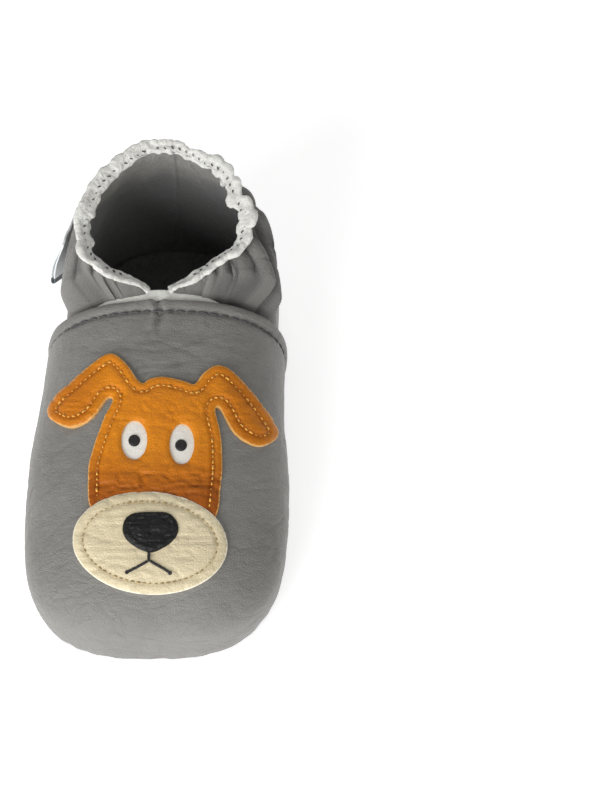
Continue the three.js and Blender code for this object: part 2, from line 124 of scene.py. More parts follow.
def mix(a: Array, b: Array, share: Array) -> Array:
    """a where share is 0 and b where it is 1."""
    return a + (b - a) * share


def unit(v: Array) -> Array:
    """Vectors scaled to length 1."""
    return v / np.maximum(np.linalg.norm(v, axis=-1, keepdims=True), 1e-9)


def bump(x: Array, at: float, width: float) -> Array:
    """A bell curve of height 1."""
    return np.exp(-(((x - at) / width) ** 2))


def run_along(line: Array) -> Array:
    """Distance along a polyline at each of its points."""
    return np.concatenate([[0], np.cumsum(np.linalg.norm(np.diff(line, axis=0), axis=1))])


def length_of(line: Array) -> float:
    """A polyline's length."""
    return np.linalg.norm(np.diff(line, axis=0), axis=1).sum()


def tangents(line: Array, closed: bool = False, reach: int = 1) -> Array:
    """Unit directions along a line; on a closed one, between the points reach places away."""
    if closed:
        return unit(np.roll(line, -reach, axis=0) - np.roll(line, reach, axis=0))
    return unit(np.gradient(line, axis=0))


def full_turn(count: int) -> Array:
    """Evenly spaced angles round a circle."""
    return np.linspace(0, 2 * math.pi, count, endpoint=False)


@dataclass(frozen=True)
class Noise:
    """Smooth value noise in space, the same on each run.

    Attributes:
        seed: chooses the pattern.
    """

    seed: int
    LARGEST = 0x7FFFFFFF

    def _lattice(self, cell: Array) -> Array:
        """One value from 0 to 1 for each whole-numbered cell."""
        a, b, c = (cell[..., k].astype(np.int64) for k in range(3))
        mixed = (a * 73856093) ^ (b * 19349663) ^ (c * 83492791) ^ (self.seed * 2654435761)
        for shift, factor in ((13, 1274126177), (16, 668265263)):
            mixed = (mixed ^ (mixed >> shift)) * factor & self.LARGEST
        return mixed / self.LARGEST

    def __call__(self, points: Array, size: float | Sequence[float]) -> Array:
        """Noise from -1 to 1 at points, with features of that size in each direction."""
        at = np.asarray(points, float) / np.asarray(size, float)
        low = np.floor(at)
        t = at - low
        t = t * t * (3 - 2 * t)
        total = np.zeros(at.shape[:-1])
        for corner in np.ndindex(2, 2, 2):
            weight = np.prod(np.where(np.array(corner) == 1, t, 1 - t), axis=-1)
            total += weight * self._lattice(low + np.array(corner))
        return total * 2 - 1

    def layers(self, points: Array, size: float, count: int = 3) -> Array:
        """Several sizes of noise added, each half as large and half as strong."""
        return sum(self(points, size / 2 ** k) / 2 ** k for k in range(count)) / 1.6

    def creases(self, points: Array, size: float | Sequence[float]) -> Array:
        """0 on flat ground and up to 1 along narrow lines."""
        return np.clip(1 - np.abs(self(points, size)) * 3.2, 0, 1) ** 2


# ---------------------------------------------------------------- the bootie's form


def box_mm(node: str) -> tuple[Array, Array]:
    """Lowest and highest corner of a CAD node in millimetres."""
    low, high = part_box(node)
    return np.array(low) / MM, np.array(high) / MM


@dataclass(frozen=True)
class Layer:
    """Distance of a face from the quarters' outer face, in millimetres."""

    quarter: float = 0.0
    lining_inner: float = -2.3
    vamp_lining_inner: float = 0.4
    vamp_lining: float = 1.2
    vamp_inner: float = 1.5
    vamp: float = 2.7


LAYER = Layer()


class Form:
    """The bootie's overall form, as cross-sections along its length, read off the frame.

    Attributes:
        toe, heel, edge: places along Y of the toe's tip, the heel and the toe piece's back edge.
        seam: the heel seam's place along X.
    """

    END_POWER = 3.6
    TOE_POWER = 2.3
    HEEL_POWER = 2.6
    LOW_POWER = 2.2
    POWER = 2.3
    FACE_TILT = math.radians(55)
    HEEL_ASIDE = 4
    NEAR_TIP = 0.9999
    SEARCH = (60, -20)
    HALVINGS = 16

    def __init__(self) -> None:
        vamp_low, vamp_high = box_mm("vamp")
        _, outer_high = box_mm("quarter_outer")
        inner_low, _ = box_mm("quarter_inner")
        self.toe, self.heel, self.edge = vamp_low[1], outer_high[1], vamp_high[1]
        self.length = self.heel - self.toe
        self.half = (self.length - LAYER.vamp) / 2
        self.middle = self.heel - self.half
        self.seam = (outer_high[0] + inner_low[0]) / 2
        self.shift = self.seam - self.HEEL_ASIDE
        self.centre_y = (self.toe + self.heel) / 2
        ball = (vamp_high[0] - vamp_low[0]) / 2 - LAYER.vamp
        waist, heel = 28.3, 28.4
        self.widths = [
            (0, ball * 1.09), (0.12, ball * 1.08), (0.24, ball * 1.03), (0.38, ball * 0.99),
            (0.5, waist * 1.03), (0.62, waist), (0.68, waist * 1.01), (0.8, heel * 1.05),
            (0.9, heel * 1.09), (1, heel * 1.1)]
        self.centres = [
            (0, -1), (0.25, 0), (0.5, 0.88), (0.66, 2.4), (0.8, self.HEEL_ASIDE), (1, self.HEEL_ASIDE)]
        self.belts = [(0, 12), (0.5, 15), (1, 20)]
        self.tops = [(0, 28), (0.25, 29), (0.4, 31), (0.652, 36.8), (1, 43.5)]
        tilt = self.FACE_TILT
        self.across = np.array([1.0, 0.0, 0.0])
        self.up = np.array([0.0, math.sin(tilt), math.cos(tilt)])
        self.out = np.array([0.0, -math.cos(tilt), math.sin(tilt)])

    def share(self, y: Array) -> Array:
        """Share of the length at y."""
        return (y - self.toe) / self.length

    def half_width(self, y: Array) -> Array:
        """Half width of the quarters' outer face."""
        return spline(self.widths, self.share(y))

    def centre(self, y: Array) -> Array:
        """The centre line's X."""
        return spline(self.centres, self.share(y)) + self.shift

    def belt(self, y: Array) -> Array:
        """Height of the widest line."""
        return spline(self.belts, self.share(y))

    def top(self, y: Array) -> Array:
        """Height of the top line."""
        return spline(self.tops, self.share(y))

    @staticmethod
    def closing(station: Array, power: float) -> Array:
        """How far a superellipse has closed."""
        return np.maximum(0, 1 - np.abs(station) ** power) ** (1 / power)

    def section(self, station: Array, offset: Array) -> tuple[Array, Array, Array, Array]:
        """(centre x, half width, belt, rise, drop) stacked for stations from -1, the toe, to 1."""
        y = self.middle + self.half * station
        close = self.closing(station, self.END_POWER)
        top_close = np.where(
            station < 0, self.closing(station, self.TOE_POWER), self.closing(station, self.HEEL_POWER))
        belt = self.belt(y)
        width = (self.half_width(y) + offset) * close
        rise = (self.top(y) - belt + offset) * top_close
        drop = (belt * 2.1 + offset) * close
        return self.centre(y), width, belt, rise, drop

    def point(self, station: Array, angle: Array, offset: Array) -> Array:
        """Points of the form. angle is 0 at the top and runs towards +X."""
        centre, width, belt, rise, drop = self.section(station, offset)
        sine, cosine = np.sin(angle), np.cos(angle)
        bend = np.where(cosine > 0, 2 / self.POWER, 2 / self.LOW_POWER)
        x = centre + np.sign(sine) * width * np.abs(sine) ** bend
        height = np.where(cosine > 0, rise, drop)
        z = belt + np.sign(cosine) * height * np.abs(cosine) ** bend
        y = self.middle + (self.half + offset) * station
        return np.stack(np.broadcast_arrays(x, y, z), axis=-1)

    def outside(self, points: Array, offset: float) -> Array:
        """Above 0 outside the form at that offset, and below 0 inside it."""
        station = (points[..., 1] - self.middle) / (self.half + offset)
        inside = np.clip(station, -self.NEAR_TIP, self.NEAR_TIP)
        centre, width, belt, rise, drop = self.section(inside, offset)
        above = points[..., 2] > belt
        power = np.where(above, self.POWER, self.LOW_POWER)
        across = np.abs(points[..., 0] - centre) / np.maximum(width, 1e-6)
        up = np.abs(points[..., 2] - belt) / np.maximum(np.where(above, rise, drop), 1e-6)
        value = np.minimum(across, 50) ** power + np.minimum(up, 50) ** power - 1
        return np.where(np.abs(station) >= self.NEAR_TIP, 1.0, value)

    def plane(self, u: Array, w: Array) -> Array:
        """Points of the face's own plane: u to the right and w up it."""
        u = np.asarray(u, float)[..., None] + self.shift
        w = np.asarray(w, float)[..., None] + self.centre_y * self.up[1]
        return u * self.across + w * self.up

    def on_face(self, u: Array, w: Array, offset: float) -> Array:
        """Points of the form seen square to the face's plane."""
        base = self.plane(u, w)
        far = np.full(base.shape[:-1], float(self.SEARCH[0]))
        near = far.copy()
        found = np.zeros(base.shape[:-1], bool)
        for depth in np.arange(*self.SEARCH, -1.0):
            inside = self.outside(base + depth * self.out, offset) < 0
            new = inside & ~found
            near = np.where(new, depth, near)
            far = np.where(new, depth + 1.0, far)
            found |= inside
        for _ in range(self.HALVINGS):
            middle = (near + far) / 2
            inside = self.outside(base + middle[..., None] * self.out, offset) < 0
            near, far = np.where(inside, middle, near), np.where(inside, far, middle)
        return base + near[..., None] * self.out

    def face_normal(self, u: Array, w: Array, offset: float) -> Array:
        """Outward normals at on_face points."""
        reach = 0.6
        along = self.on_face(u + reach, w, offset) - self.on_face(u - reach, w, offset)
        up = self.on_face(u, w + reach, offset) - self.on_face(u, w - reach, offset)
        return unit(np.cross(along, up))

    def outline(self, offset: float, height: float, count: int) -> Array:
        """The form's closed outline at a height, anticlockwise from the heel, as (count, 2)."""
        ends = []
        for way in (1.0, -1.0):
            tries = way * np.linspace(0.9, 0.99999, 2000)
            _, _, belt, _, drop = self.section(tries, offset)
            reached = np.abs(tries[(belt - height) / np.maximum(drop, 1e-6) < 1])
            ends.append(reached.max())
        phase = full_turn(count)
        along = np.cos(phase)
        station = np.where(along > 0, ends[0], ends[1]) * np.sign(along) * np.abs(along) ** 0.6
        centre, width, belt, _, drop = self.section(station, offset)
        level = np.clip((belt - height) / np.maximum(drop, 1e-6), 0, 1)
        reach = (1 - level ** self.LOW_POWER) ** (1 / self.LOW_POWER)
        x = centre + np.sign(np.sin(phase)) * width * reach
        y = self.middle + (self.half + offset) * station
        loop = even_line(np.stack([x, y], axis=-1), 0.3, closed=True)
        return even_line(loop, length_of(loop) / count, closed=True)[:count]


# ---------------------------------------------------------------- meshes


def grid_faces(rows: int, columns: int, wrap: bool = False, flip: bool = False) -> Array:
    """Quads between the points of a grid.

    Args:
        rows, columns: the grid's size.
        wrap: joins the last column to the first.
        flip: turns the faces round.
    Returns:
        An (n, 4) array of indices.
    """
    r, c = np.meshgrid(np.arange(rows - 1), np.arange(columns if wrap else columns - 1), indexing="ij")
    after = (c + 1) % columns
    here, below = r * columns, (r + 1) * columns
    quads = np.stack([here + c, here + after, below + after, below + c], -1).reshape(-1, 4)
    return quads[:, ::-1] if flip else quads


def grid_normals(points: Array, wrap: bool = False) -> Array:
    """Unit normals of a grid of points, rows crossed with columns."""
    down = np.gradient(points, axis=0)
    if wrap:
        along = (np.roll(points, -1, axis=1) - np.roll(points, 1, axis=1)) / 2
    else:
        along = np.gradient(points, axis=1)
    return unit(np.cross(along, down))


def new_object(
    name: str, points: Array, faces: Sequence, materials: Sequence[bpy.types.Material],
    face_material: Array | None = None, attributes: dict[str, Array] | None = None,
) -> bpy.types.Object:
    """Makes a smooth-shaded mesh object from millimetre points.

    Args:
        name: the piece's name.
        points: any shape ending in 3.
        faces: index lists.
        materials: the object's materials.
        face_material: a material index for each face.
        attributes: extra values for each point, by name.
    Returns:
        The object, linked to the scene.
    """
    points = np.asarray(points, float).reshape(-1, 3) * MM
    mesh = bpy.data.meshes.new(name)
    faces = faces.tolist() if isinstance(faces, np.ndarray) else faces
    mesh.from_pydata(points.tolist(), [], faces)
    for material in materials:
        mesh.materials.append(material)
    for key, values in (attributes or {}).items():
        layer = mesh.attributes.new(key, "FLOAT", "POINT")
        layer.data.foreach_set("value", np.asarray(values, np.float32).ravel())
    if face_material is not None:
        mesh.polygons.foreach_set("material_index", np.asarray(face_material, np.int32))
    mesh.polygons.foreach_set("use_smooth", np.ones(len(mesh.polygons), bool))
    mesh.validate()
    mesh.update()
    made = bpy.data.objects.new(name, mesh)
    bpy.context.scene.collection.objects.link(made)
    return made


def finish_piece(
    made: bpy.types.Object, body: Body, slot: Slot, *nodes: str, fill: float | None = None,
) -> bpy.types.Object:
    """Puts a piece on the empty of the body it rides on and hides the CAD nodes it stands for, if any."""
    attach(made, body.value)
    if nodes:
        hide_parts(*nodes)
    log.info("%s: %d faces", made.name, len(made.data.polygons))
    return made


def clip_low(made: bpy.types.Object, height: float) -> None:
    """Cuts away what lies below a height in millimetres."""
    work = bmesh.new()
    work.from_mesh(made.data)
    bmesh.ops.bisect_plane(
        work, geom=work.verts[:] + work.edges[:] + work.faces[:], plane_co=(0, 0, height * MM),
        plane_no=(0, 0, -1), clear_outer=True)
    work.to_mesh(made.data)
    work.free()
    made.data.update()


def sweep(
    line: Array, section: Callable[[Array, Array], tuple[Array, Array]], up: Array, around: int,
) -> Array:
    """Carries a cross-section along a line.

    Args:
        line: (n, 3) points.
        section: maps (share along, angle round) to (out, up) distances.
        up: (n, 3) or (3,) directions that the section's second axis leans to.
        around: points round the section.
    Returns:
        An (n, around, 3) grid.
    """
    tangent = tangents(line)
    side = unit(np.cross(tangent, np.broadcast_to(up, line.shape)))
    above = np.cross(side, tangent)
    out, rise = section(np.linspace(0, 1, len(line))[:, None], full_turn(around)[None, :])
    return line[:, None, :] + out[..., None] * side[:, None, :] + rise[..., None] * above[:, None, :]


def even_line(points: Array, spacing: float, closed: bool = False) -> Array:
    """Points along a polyline at an even spacing."""
    if closed:
        points = np.vstack([points, points[:1]])
    run = run_along(points)
    count = max(2, int(round(run[-1] / spacing)))
    at = np.linspace(0, run[-1], count if closed else count + 1, endpoint=not closed)
    return np.stack([np.interp(at, run, points[:, k]) for k in range(points.shape[1])], axis=-1)


def smooth_line(points: Sequence, count: int, closed: bool = False) -> Array:
    """A smooth curve through the points, by a uniform Catmull-Rom spline."""
    pts = np.array(points, float)
    if closed:
        pts = np.vstack([pts[-1:], pts, pts[:2]])
    else:
        pts = np.vstack([2 * pts[0] - pts[1], pts, 2 * pts[-1] - pts[-2]])
    spans = len(pts) - 3
    at = np.linspace(0, spans, count, endpoint=not closed)
    i = np.minimum(at.astype(int), spans - 1)
    t = (at - i)[:, None]
    a, b, c, d = pts[i], pts[i + 1], pts[i + 2], pts[i + 3]
    square, cube = 2 * a - 5 * b + 4 * c - d, 3 * b - a - 3 * c + d
    return 0.5 * (2 * b + (c - a) * t + square * t ** 2 + cube * t ** 3)


# ---------------------------------------------------------------- finishes


class Tree:
    """Short names for building a shader node tree."""

    def __init__(self, tree: bpy.types.NodeTree) -> None:
        self.tree = tree

    def feed(self, node: bpy.types.Node, given: dict[str | int, object]) -> bpy.types.Node:
        """Sets or links a node's inputs, by name or number, to values or sockets."""
        for key, value in given.items():
            if isinstance(value, bpy.types.NodeSocket):
                self.tree.links.new(value, node.inputs[key])
            else:
                node.inputs[key].default_value = value
        return node

    def node(
        self, kind: str, given: dict[str | int, object] | None = None, **settings: object,
    ) -> bpy.types.Node:
        """A new node with its properties set and its inputs fed."""
        made = self.tree.nodes.new(kind)
        for key, value in settings.items():
            setattr(made, key, value)
        return self.feed(made, given or {})

    def math(self, operation: str, *values: object) -> bpy.types.NodeSocket:
        """The result of a math node whose inputs are numbers or sockets."""
        return self.node("ShaderNodeMath", dict(enumerate(values)), operation=operation).outputs[0]

    def blend(self, share: object, a: object, b: object) -> bpy.types.NodeSocket:
        """A colour from a at share 0 to b at share 1."""
        return self.node("ShaderNodeMix", {0: share, 6: a, 7: b}, data_type="RGBA").outputs[2]

    def noise(self, where: bpy.types.NodeSocket, scale: object, detail: float = 3.0) -> bpy.types.NodeSocket:
        """A noise texture's value."""
        given = {"Detail": detail, "Vector": where, "Scale": scale}
        return self.node("ShaderNodeTexNoise", given).outputs[0]

    def range(self, value: bpy.types.NodeSocket, low: float, high: float) -> bpy.types.NodeSocket:
        """value moved from low..high to 0..1."""
        return self.node("ShaderNodeMapRange", {0: value, 1: low, 2: high}).outputs[0]

    def stretched(self, scale: Triple = (1.0, 1.0, 1.0)) -> bpy.types.NodeSocket:
        """Object coordinates multiplied along each axis."""
        given = {"Scale": scale, "Vector": self.where()}
        return self.node("ShaderNodeMapping", given).outputs[0]

    def where(self) -> bpy.types.NodeSocket:
        """Object coordinates."""
        return self.node("ShaderNodeTexCoord").outputs["Object"]

    def attribute(self, name: str) -> bpy.types.NodeSocket:
        """A named attribute's value."""
        return self.node("ShaderNodeAttribute", attribute_name=name).outputs["Fac"]


def rgba(colour: Sequence[float]) -> tuple[float, float, float, float]:
    """A colour with alpha 1."""
    return (colour[0], colour[1], colour[2], 1.0)


def node_group(
    name: str, kind: str, inputs: Sequence[tuple], outputs: Sequence[tuple],
) -> tuple[Tree, bpy.types.Node, bpy.types.Node]:
    """A new node group.

    Args:
        name: the group's name.
        kind: its type of tree.
        inputs, outputs: each socket's label, its kind and, for an input, its first value.
    Returns:
        The tree, and its input and output nodes.
    """
    group = bpy.data.node_groups.new(name, kind)
    for way, sockets in (("INPUT", inputs), ("OUTPUT", outputs)):
        for label, socket, *value in sockets:
            made = group.interface.new_socket(name=label, in_out=way, socket_type="NodeSocket" + socket)
            if value:
                made.default_value = value[0]
    t = Tree(group)
    return t, t.node("NodeGroupInput"), t.node("NodeGroupOutput")


class Groups:
    """Shader node groups that several materials share."""

    LEATHER = "leather grain"
    NAP = "nap"

    @classmethod
    def leather(cls) -> bpy.types.NodeTree:
        """Pebbled grain with fine pores, soft creases and uneven dye."""
        if cls.LEATHER in bpy.data.node_groups:
            return bpy.data.node_groups[cls.LEATHER]
        t, group_in, group_out = node_group(
            cls.LEATHER, "ShaderNodeTree",
            [("Base", "Color", (0.3, 0.3, 0.3, 1)), ("Worn", "Color", (0.4, 0.4, 0.4, 1)),
             ("Pebbles", "Float", 1100.0), ("Creasing", "Float", 0.5), ("Rough", "Float", 0.5)],
            [("Color", "Color"), ("Roughness", "Float"), ("Height", "Float")])
        given, where = group_in.outputs, t.where()
        warp = t.node("ShaderNodeTexNoise", {"Scale": 700, "Vector": where})
        moved = t.node(
            "ShaderNodeVectorMath", {0: warp.outputs["Color"], 1: (0.0006, 0.0006, 0.0006), 2: where},
            operation="MULTIPLY_ADD")
        cells = t.node(
            "ShaderNodeTexVoronoi", {"Vector": moved.outputs[0], "Scale": given["Pebbles"]},
            feature="DISTANCE_TO_EDGE")
        pebbles = t.range(cells.outputs["Distance"], 0.0, 0.22)
        fine = t.noise(where, 3800.0, 4)
        wide = t.noise(where, 60.0, 3)
        crease = t.noise(t.stretched((1.0, 2.6, 2.0)), 230.0, 5)
        ridge = t.math("ABSOLUTE", t.math("SUBTRACT", crease, 0.5))
        ridge = t.math("SMOOTH_MIN", t.math("MULTIPLY", ridge, 9.0), 1.0, 0.3)
        relief = t.math("ADD", t.math("MULTIPLY", pebbles, 0.5), t.math("MULTIPLY", fine, 0.35))
        tone = t.math("ADD", t.math("MULTIPLY", wide, 0.8), t.math("MULTIPLY", pebbles, 0.35))
        uneven = t.math("MULTIPLY", t.math("SUBTRACT", fine, 0.5), 0.3)
        t.feed(group_out, {
            "Color": t.blend(t.range(tone, 0.25, 1.0), given["Base"], given["Worn"]),
            "Roughness": t.math("ADD", given["Rough"], uneven),
            "Height": t.math("ADD", relief, t.math("MULTIPLY", ridge, given["Creasing"]))})
        return t.tree

    @classmethod
    def nap(cls) -> bpy.types.NodeTree:
        """Short uneven fibres: suede, felted lining and fleece."""
        if cls.NAP in bpy.data.node_groups:
            return bpy.data.node_groups[cls.NAP]
        t, group_in, group_out = node_group(
            cls.NAP, "ShaderNodeTree",
            [("Base", "Color", (0.5, 0.5, 0.5, 1)), ("Tip", "Color", (0.7, 0.7, 0.7, 1)),
             ("Fineness", "Float", 1600.0)],
            [("Color", "Color"), ("Height", "Float")])
        given, where = group_in.outputs, t.where()
        fibres = t.noise(where, given["Fineness"], 6)
        patches = t.noise(where, 240.0, 4)
        tone = t.math("ADD", t.math("MULTIPLY", fibres, 0.6), t.math("MULTIPLY", patches, 0.6))
        t.feed(group_out, {
            "Color": t.blend(t.range(tone, 0.35, 0.85), given["Base"], given["Tip"]),
            "Height": t.math("ADD", fibres, t.math("MULTIPLY", patches, 0.8))})
        return t.tree


@dataclass(frozen=True)
class Finish:
    """What every finish has: a name, and a material built once.

    Attributes:
        name: the material's name.
    """

    name: str

    def build(self) -> bpy.types.Material:
        """The finish's material, made at its first use."""
        found = bpy.data.materials.get(self.name)
        if found:
            return found
        material = bpy.data.materials.new(self.name)
        material.use_nodes = True
        self.wire(Tree(material.node_tree), material.node_tree.nodes["Principled BSDF"])
        return material

    def wire(self, t: Tree, shader: bpy.types.Node) -> None:
        """Sets the shader's inputs."""
        raise NotImplementedError

    @staticmethod
    def relief(t: Tree, height: bpy.types.NodeSocket, depth: float, strength: float) -> bpy.types.NodeSocket:
        """The normal of a bump of that depth in millimetres."""
        given = {"Strength": strength, "Distance": depth * MM, "Height": height}
        return t.node("ShaderNodeBump", given).outputs[0]

    @staticmethod
    def tinted(t: Tree, colour: bpy.types.NodeSocket, share: bpy.types.NodeSocket, tint: Colour) -> object:
        """colour turned to tint where share is 1."""
        return t.blend(share, colour, rgba(tint))


@dataclass(frozen=True)
class Leather(Finish):
    """Grain leather.

    Attributes:
        base, worn: colours in the hollows and on the raised grain.
        shade: a darker colour of painted shade, where the "shade" attribute is 1, or None.
        cut: the cut edge's colour where the "cut" attribute is 1, or None.
        rough: roughness.
        pebbles: grain cells to the metre.
        creasing: strength of the fine creases.
        depth: depth of the grain in millimetres.
        sheen: strength of the soft shine at the edges.
    """

    base: Colour = (0.2, 0.2, 0.2)
    worn: Colour = (0.3, 0.3, 0.3)
    shade: Colour | None = None
    cut: Colour | None = None
    rough: float = 0.5
    pebbles: float = 1100.0
    creasing: float = 0.5
    depth: float = 0.12
    sheen: float = 0.1

    def wire(self, t: Tree, shader: bpy.types.Node) -> None:
        """Sets the shader's inputs."""
        grain = t.node("ShaderNodeGroup", node_tree=Groups.leather())
        t.feed(grain, {
            "Base": rgba(self.base), "Worn": rgba(self.worn), "Pebbles": self.pebbles,
            "Creasing": self.creasing, "Rough": self.rough})
        colour = grain.outputs["Color"]
        if self.shade is not None:
            colour = self.tinted(t, colour, t.attribute("shade"), self.shade)
        if self.cut is not None:
            colour = self.tinted(t, colour, t.range(t.attribute("cut"), 0.35, 0.8), self.cut)
        t.feed(shader, {
            "Base Color": colour, "Roughness": grain.outputs["Roughness"], "Specular IOR Level": 0.3,
            "Sheen Weight": self.sheen, "Sheen Roughness": 0.4,
            "Normal": self.relief(t, grain.outputs["Height"], self.depth, 0.75)})


@dataclass(frozen=True)
class Suede(Finish):
    """Napped leather or felted cloth.

    Attributes:
        base, tip: colours between the fibres and at their tips.
        shade: the colour where the "shade" attribute is 1, or None: painted shade on the linings, and a
            yellow tint in patches on the collar binding's inner face.
        fineness: fibres to the metre.
        depth: depth of the nap in millimetres.
        sheen: strength of the soft shine at the edges.
    """

    base: Colour = (0.5, 0.5, 0.5)
    tip: Colour = (0.7, 0.7, 0.7)
    shade: Colour | None = None
    fineness: float = 1600.0
    depth: float = 0.3
    sheen: float = 0.3

    def wire(self, t: Tree, shader: bpy.types.Node) -> None:
        """Sets the shader's inputs."""
        nap = t.node("ShaderNodeGroup", node_tree=Groups.nap())
        t.feed(nap, {"Base": rgba(self.base), "Tip": rgba(self.tip), "Fineness": self.fineness})
        colour = nap.outputs["Color"]
        if self.shade is not None:
            colour = self.tinted(t, colour, t.attribute("shade"), self.shade)
        t.feed(shader, {
            "Base Color": colour, "Roughness": 0.95, "Specular IOR Level": 0.2,
            "Sheen Weight": self.sheen, "Sheen Roughness": 0.5,
            "Normal": self.relief(t, nap.outputs["Height"], self.depth, 0.8)})


@dataclass(frozen=True)
class Thread(Finish):
    """Twisted sewing thread, with painted shade in the twist's grooves.

    Attributes:
        base: the thread's colour.
        twist: turns of the twist to the metre.
    """

    base: Colour = (0.1, 0.1, 0.1)
    twist: float = 2200.0
    # Painted shade: the grooves of the twist take this share of the thread's colour.
    HOLLOW_SHADE = 0.55

    def wire(self, t: Tree, shader: bpy.types.Node) -> None:
        """Sets the shader's inputs."""
        waves = t.node(
            "ShaderNodeTexWave", {"Scale": self.twist / 6, "Distortion": 1.5, "Vector": t.stretched()},
            wave_type="BANDS", bands_direction="DIAGONAL").outputs["Fac"]
        dark = rgba([channel * self.HOLLOW_SHADE for channel in self.base])
        t.feed(shader, {
            "Base Color": t.blend(waves, dark, rgba(self.base)), "Roughness": 0.6, "Sheen Weight": 0.15,
            "Normal": self.relief(t, waves, 0.05, 0.5)})


@dataclass(frozen=True)
class Woven(Finish):
    """A flat woven ribbon, with painted shade between its yarns.

    Attributes:
        base: the ribbon's colour.
    """

    base: Colour = (0.8, 0.8, 0.8)
    # Painted shade: the gaps between the yarns take this share of the ribbon's colour.
    HOLLOW_SHADE = 0.86
    WEAVE = 520.0

    def wire(self, t: Tree, shader: bpy.types.Node) -> None:
        """Sets the shader's inputs."""
        where = t.stretched()
        across, along = (
            t.node("ShaderNodeTexWave", {"Scale": self.WEAVE, "Vector": where}, wave_type="BANDS",
                   bands_direction=way).outputs["Fac"] for way in "YZ")
        weave = t.math("MULTIPLY", across, along)
        dark = rgba([channel * self.HOLLOW_SHADE for channel in self.base])
        t.feed(shader, {
            "Base Color": t.blend(weave, dark, rgba(self.base)), "Roughness": 0.45, "Sheen Weight": 0.2,
            "Normal": self.relief(t, weave, 0.06, 0.5)})


class Finishes:
    """The bootie's finishes."""

    # The third colour is painted shade, laid in the toe leather's creases and the quarters' folds.
    GREY = Leather(
        "grey leather", (0.200, 0.195, 0.182), (0.255, 0.249, 0.233), (0.075, 0.073, 0.070),
        rough=0.45, pebbles=1500, creasing=0.55, depth=0.14)
    # The third colour is painted shade over the head's lower half, its ears and its stitch groove.
    ORANGE = Leather(
        "orange leather", (0.62, 0.185, 0.004), (0.76, 0.262, 0.007), (0.33, 0.078, 0.001),
        cut=(0.80, 0.42, 0.11), rough=0.46, pebbles=1250, creasing=0.5, depth=0.13, sheen=0.0)
    ORANGE_EDGE = Suede("orange leather edge", (0.60, 0.30, 0.07), (0.78, 0.45, 0.14))
    # The third colour is painted shade, in the muzzle's stitch groove.
    CREAM = Leather(
        "cream leather", (0.64, 0.54, 0.345), (0.73, 0.645, 0.45), (0.52, 0.42, 0.24),
        cut=(0.88, 0.82, 0.66), rough=0.46, pebbles=1250, creasing=0.5, depth=0.13)
    CREAM_EDGE = Suede("cream leather edge", (0.80, 0.74, 0.60), (0.90, 0.85, 0.72))
    WHITE = Leather("white leather", (0.78, 0.75, 0.69), (0.88, 0.86, 0.80), rough=0.45, depth=0.08)
    BLACK = Leather(
        "black leather", (0.004, 0.004, 0.004), (0.011, 0.011, 0.012), rough=0.42, depth=0.16, sheen=0.0)
    PALE = Suede(
        "pale suede", (0.55, 0.54, 0.50), (0.78, 0.78, 0.745), (0.74, 0.66, 0.38), 1500, 0.42, 0.35)
    # The third colour is painted shade, for the lining deeper inside the bootie.
    LINING = Suede(
        "brushed lining", (0.20, 0.196, 0.180), (0.31, 0.302, 0.277), (0.170, 0.170, 0.169), 1100, 0.5, 0.2)
    # The third colour is painted shade, near black, for the toe lining deep inside the toe.
    STRIP = Suede(
        "lining edge", (0.80, 0.80, 0.74), (0.95, 0.95, 0.90), (0.03, 0.03, 0.03), 1500, 0.3, 0.3)
    SOLE = Suede("sole suede", (0.10, 0.094, 0.085), (0.19, 0.18, 0.165), None, 1300, 0.35, 0.2)
    INSOLE = Suede("insole felt", (0.085, 0.085, 0.084), (0.17, 0.168, 0.163), None, 1200, 0.35, 0.1)
    PADDING = Suede("padding foam", (0.45, 0.45, 0.43), (0.60, 0.60, 0.57), None, 900, 0.4, 0.1)
    ELASTIC = Suede("elastic band", (0.60, 0.60, 0.57), (0.80, 0.80, 0.77), None, 2000, 0.2, 0.1)
    BLACK_THREAD = Thread("black thread", (0.008, 0.008, 0.008))
    GOLD_THREAD = Thread("gold thread", (0.95, 0.50, 0.07))
    TAN_THREAD = Thread("tan thread", (0.42, 0.29, 0.11))
    GREY_THREAD = Thread("grey thread", (0.075, 0.073, 0.076))
    RIBBON = Woven("ribbon", (0.90, 0.93, 0.935))
    HEM = Woven("ribbon hem", (0.10, 0.12, 0.14))


# ---------------------------------------------------------------- the sole


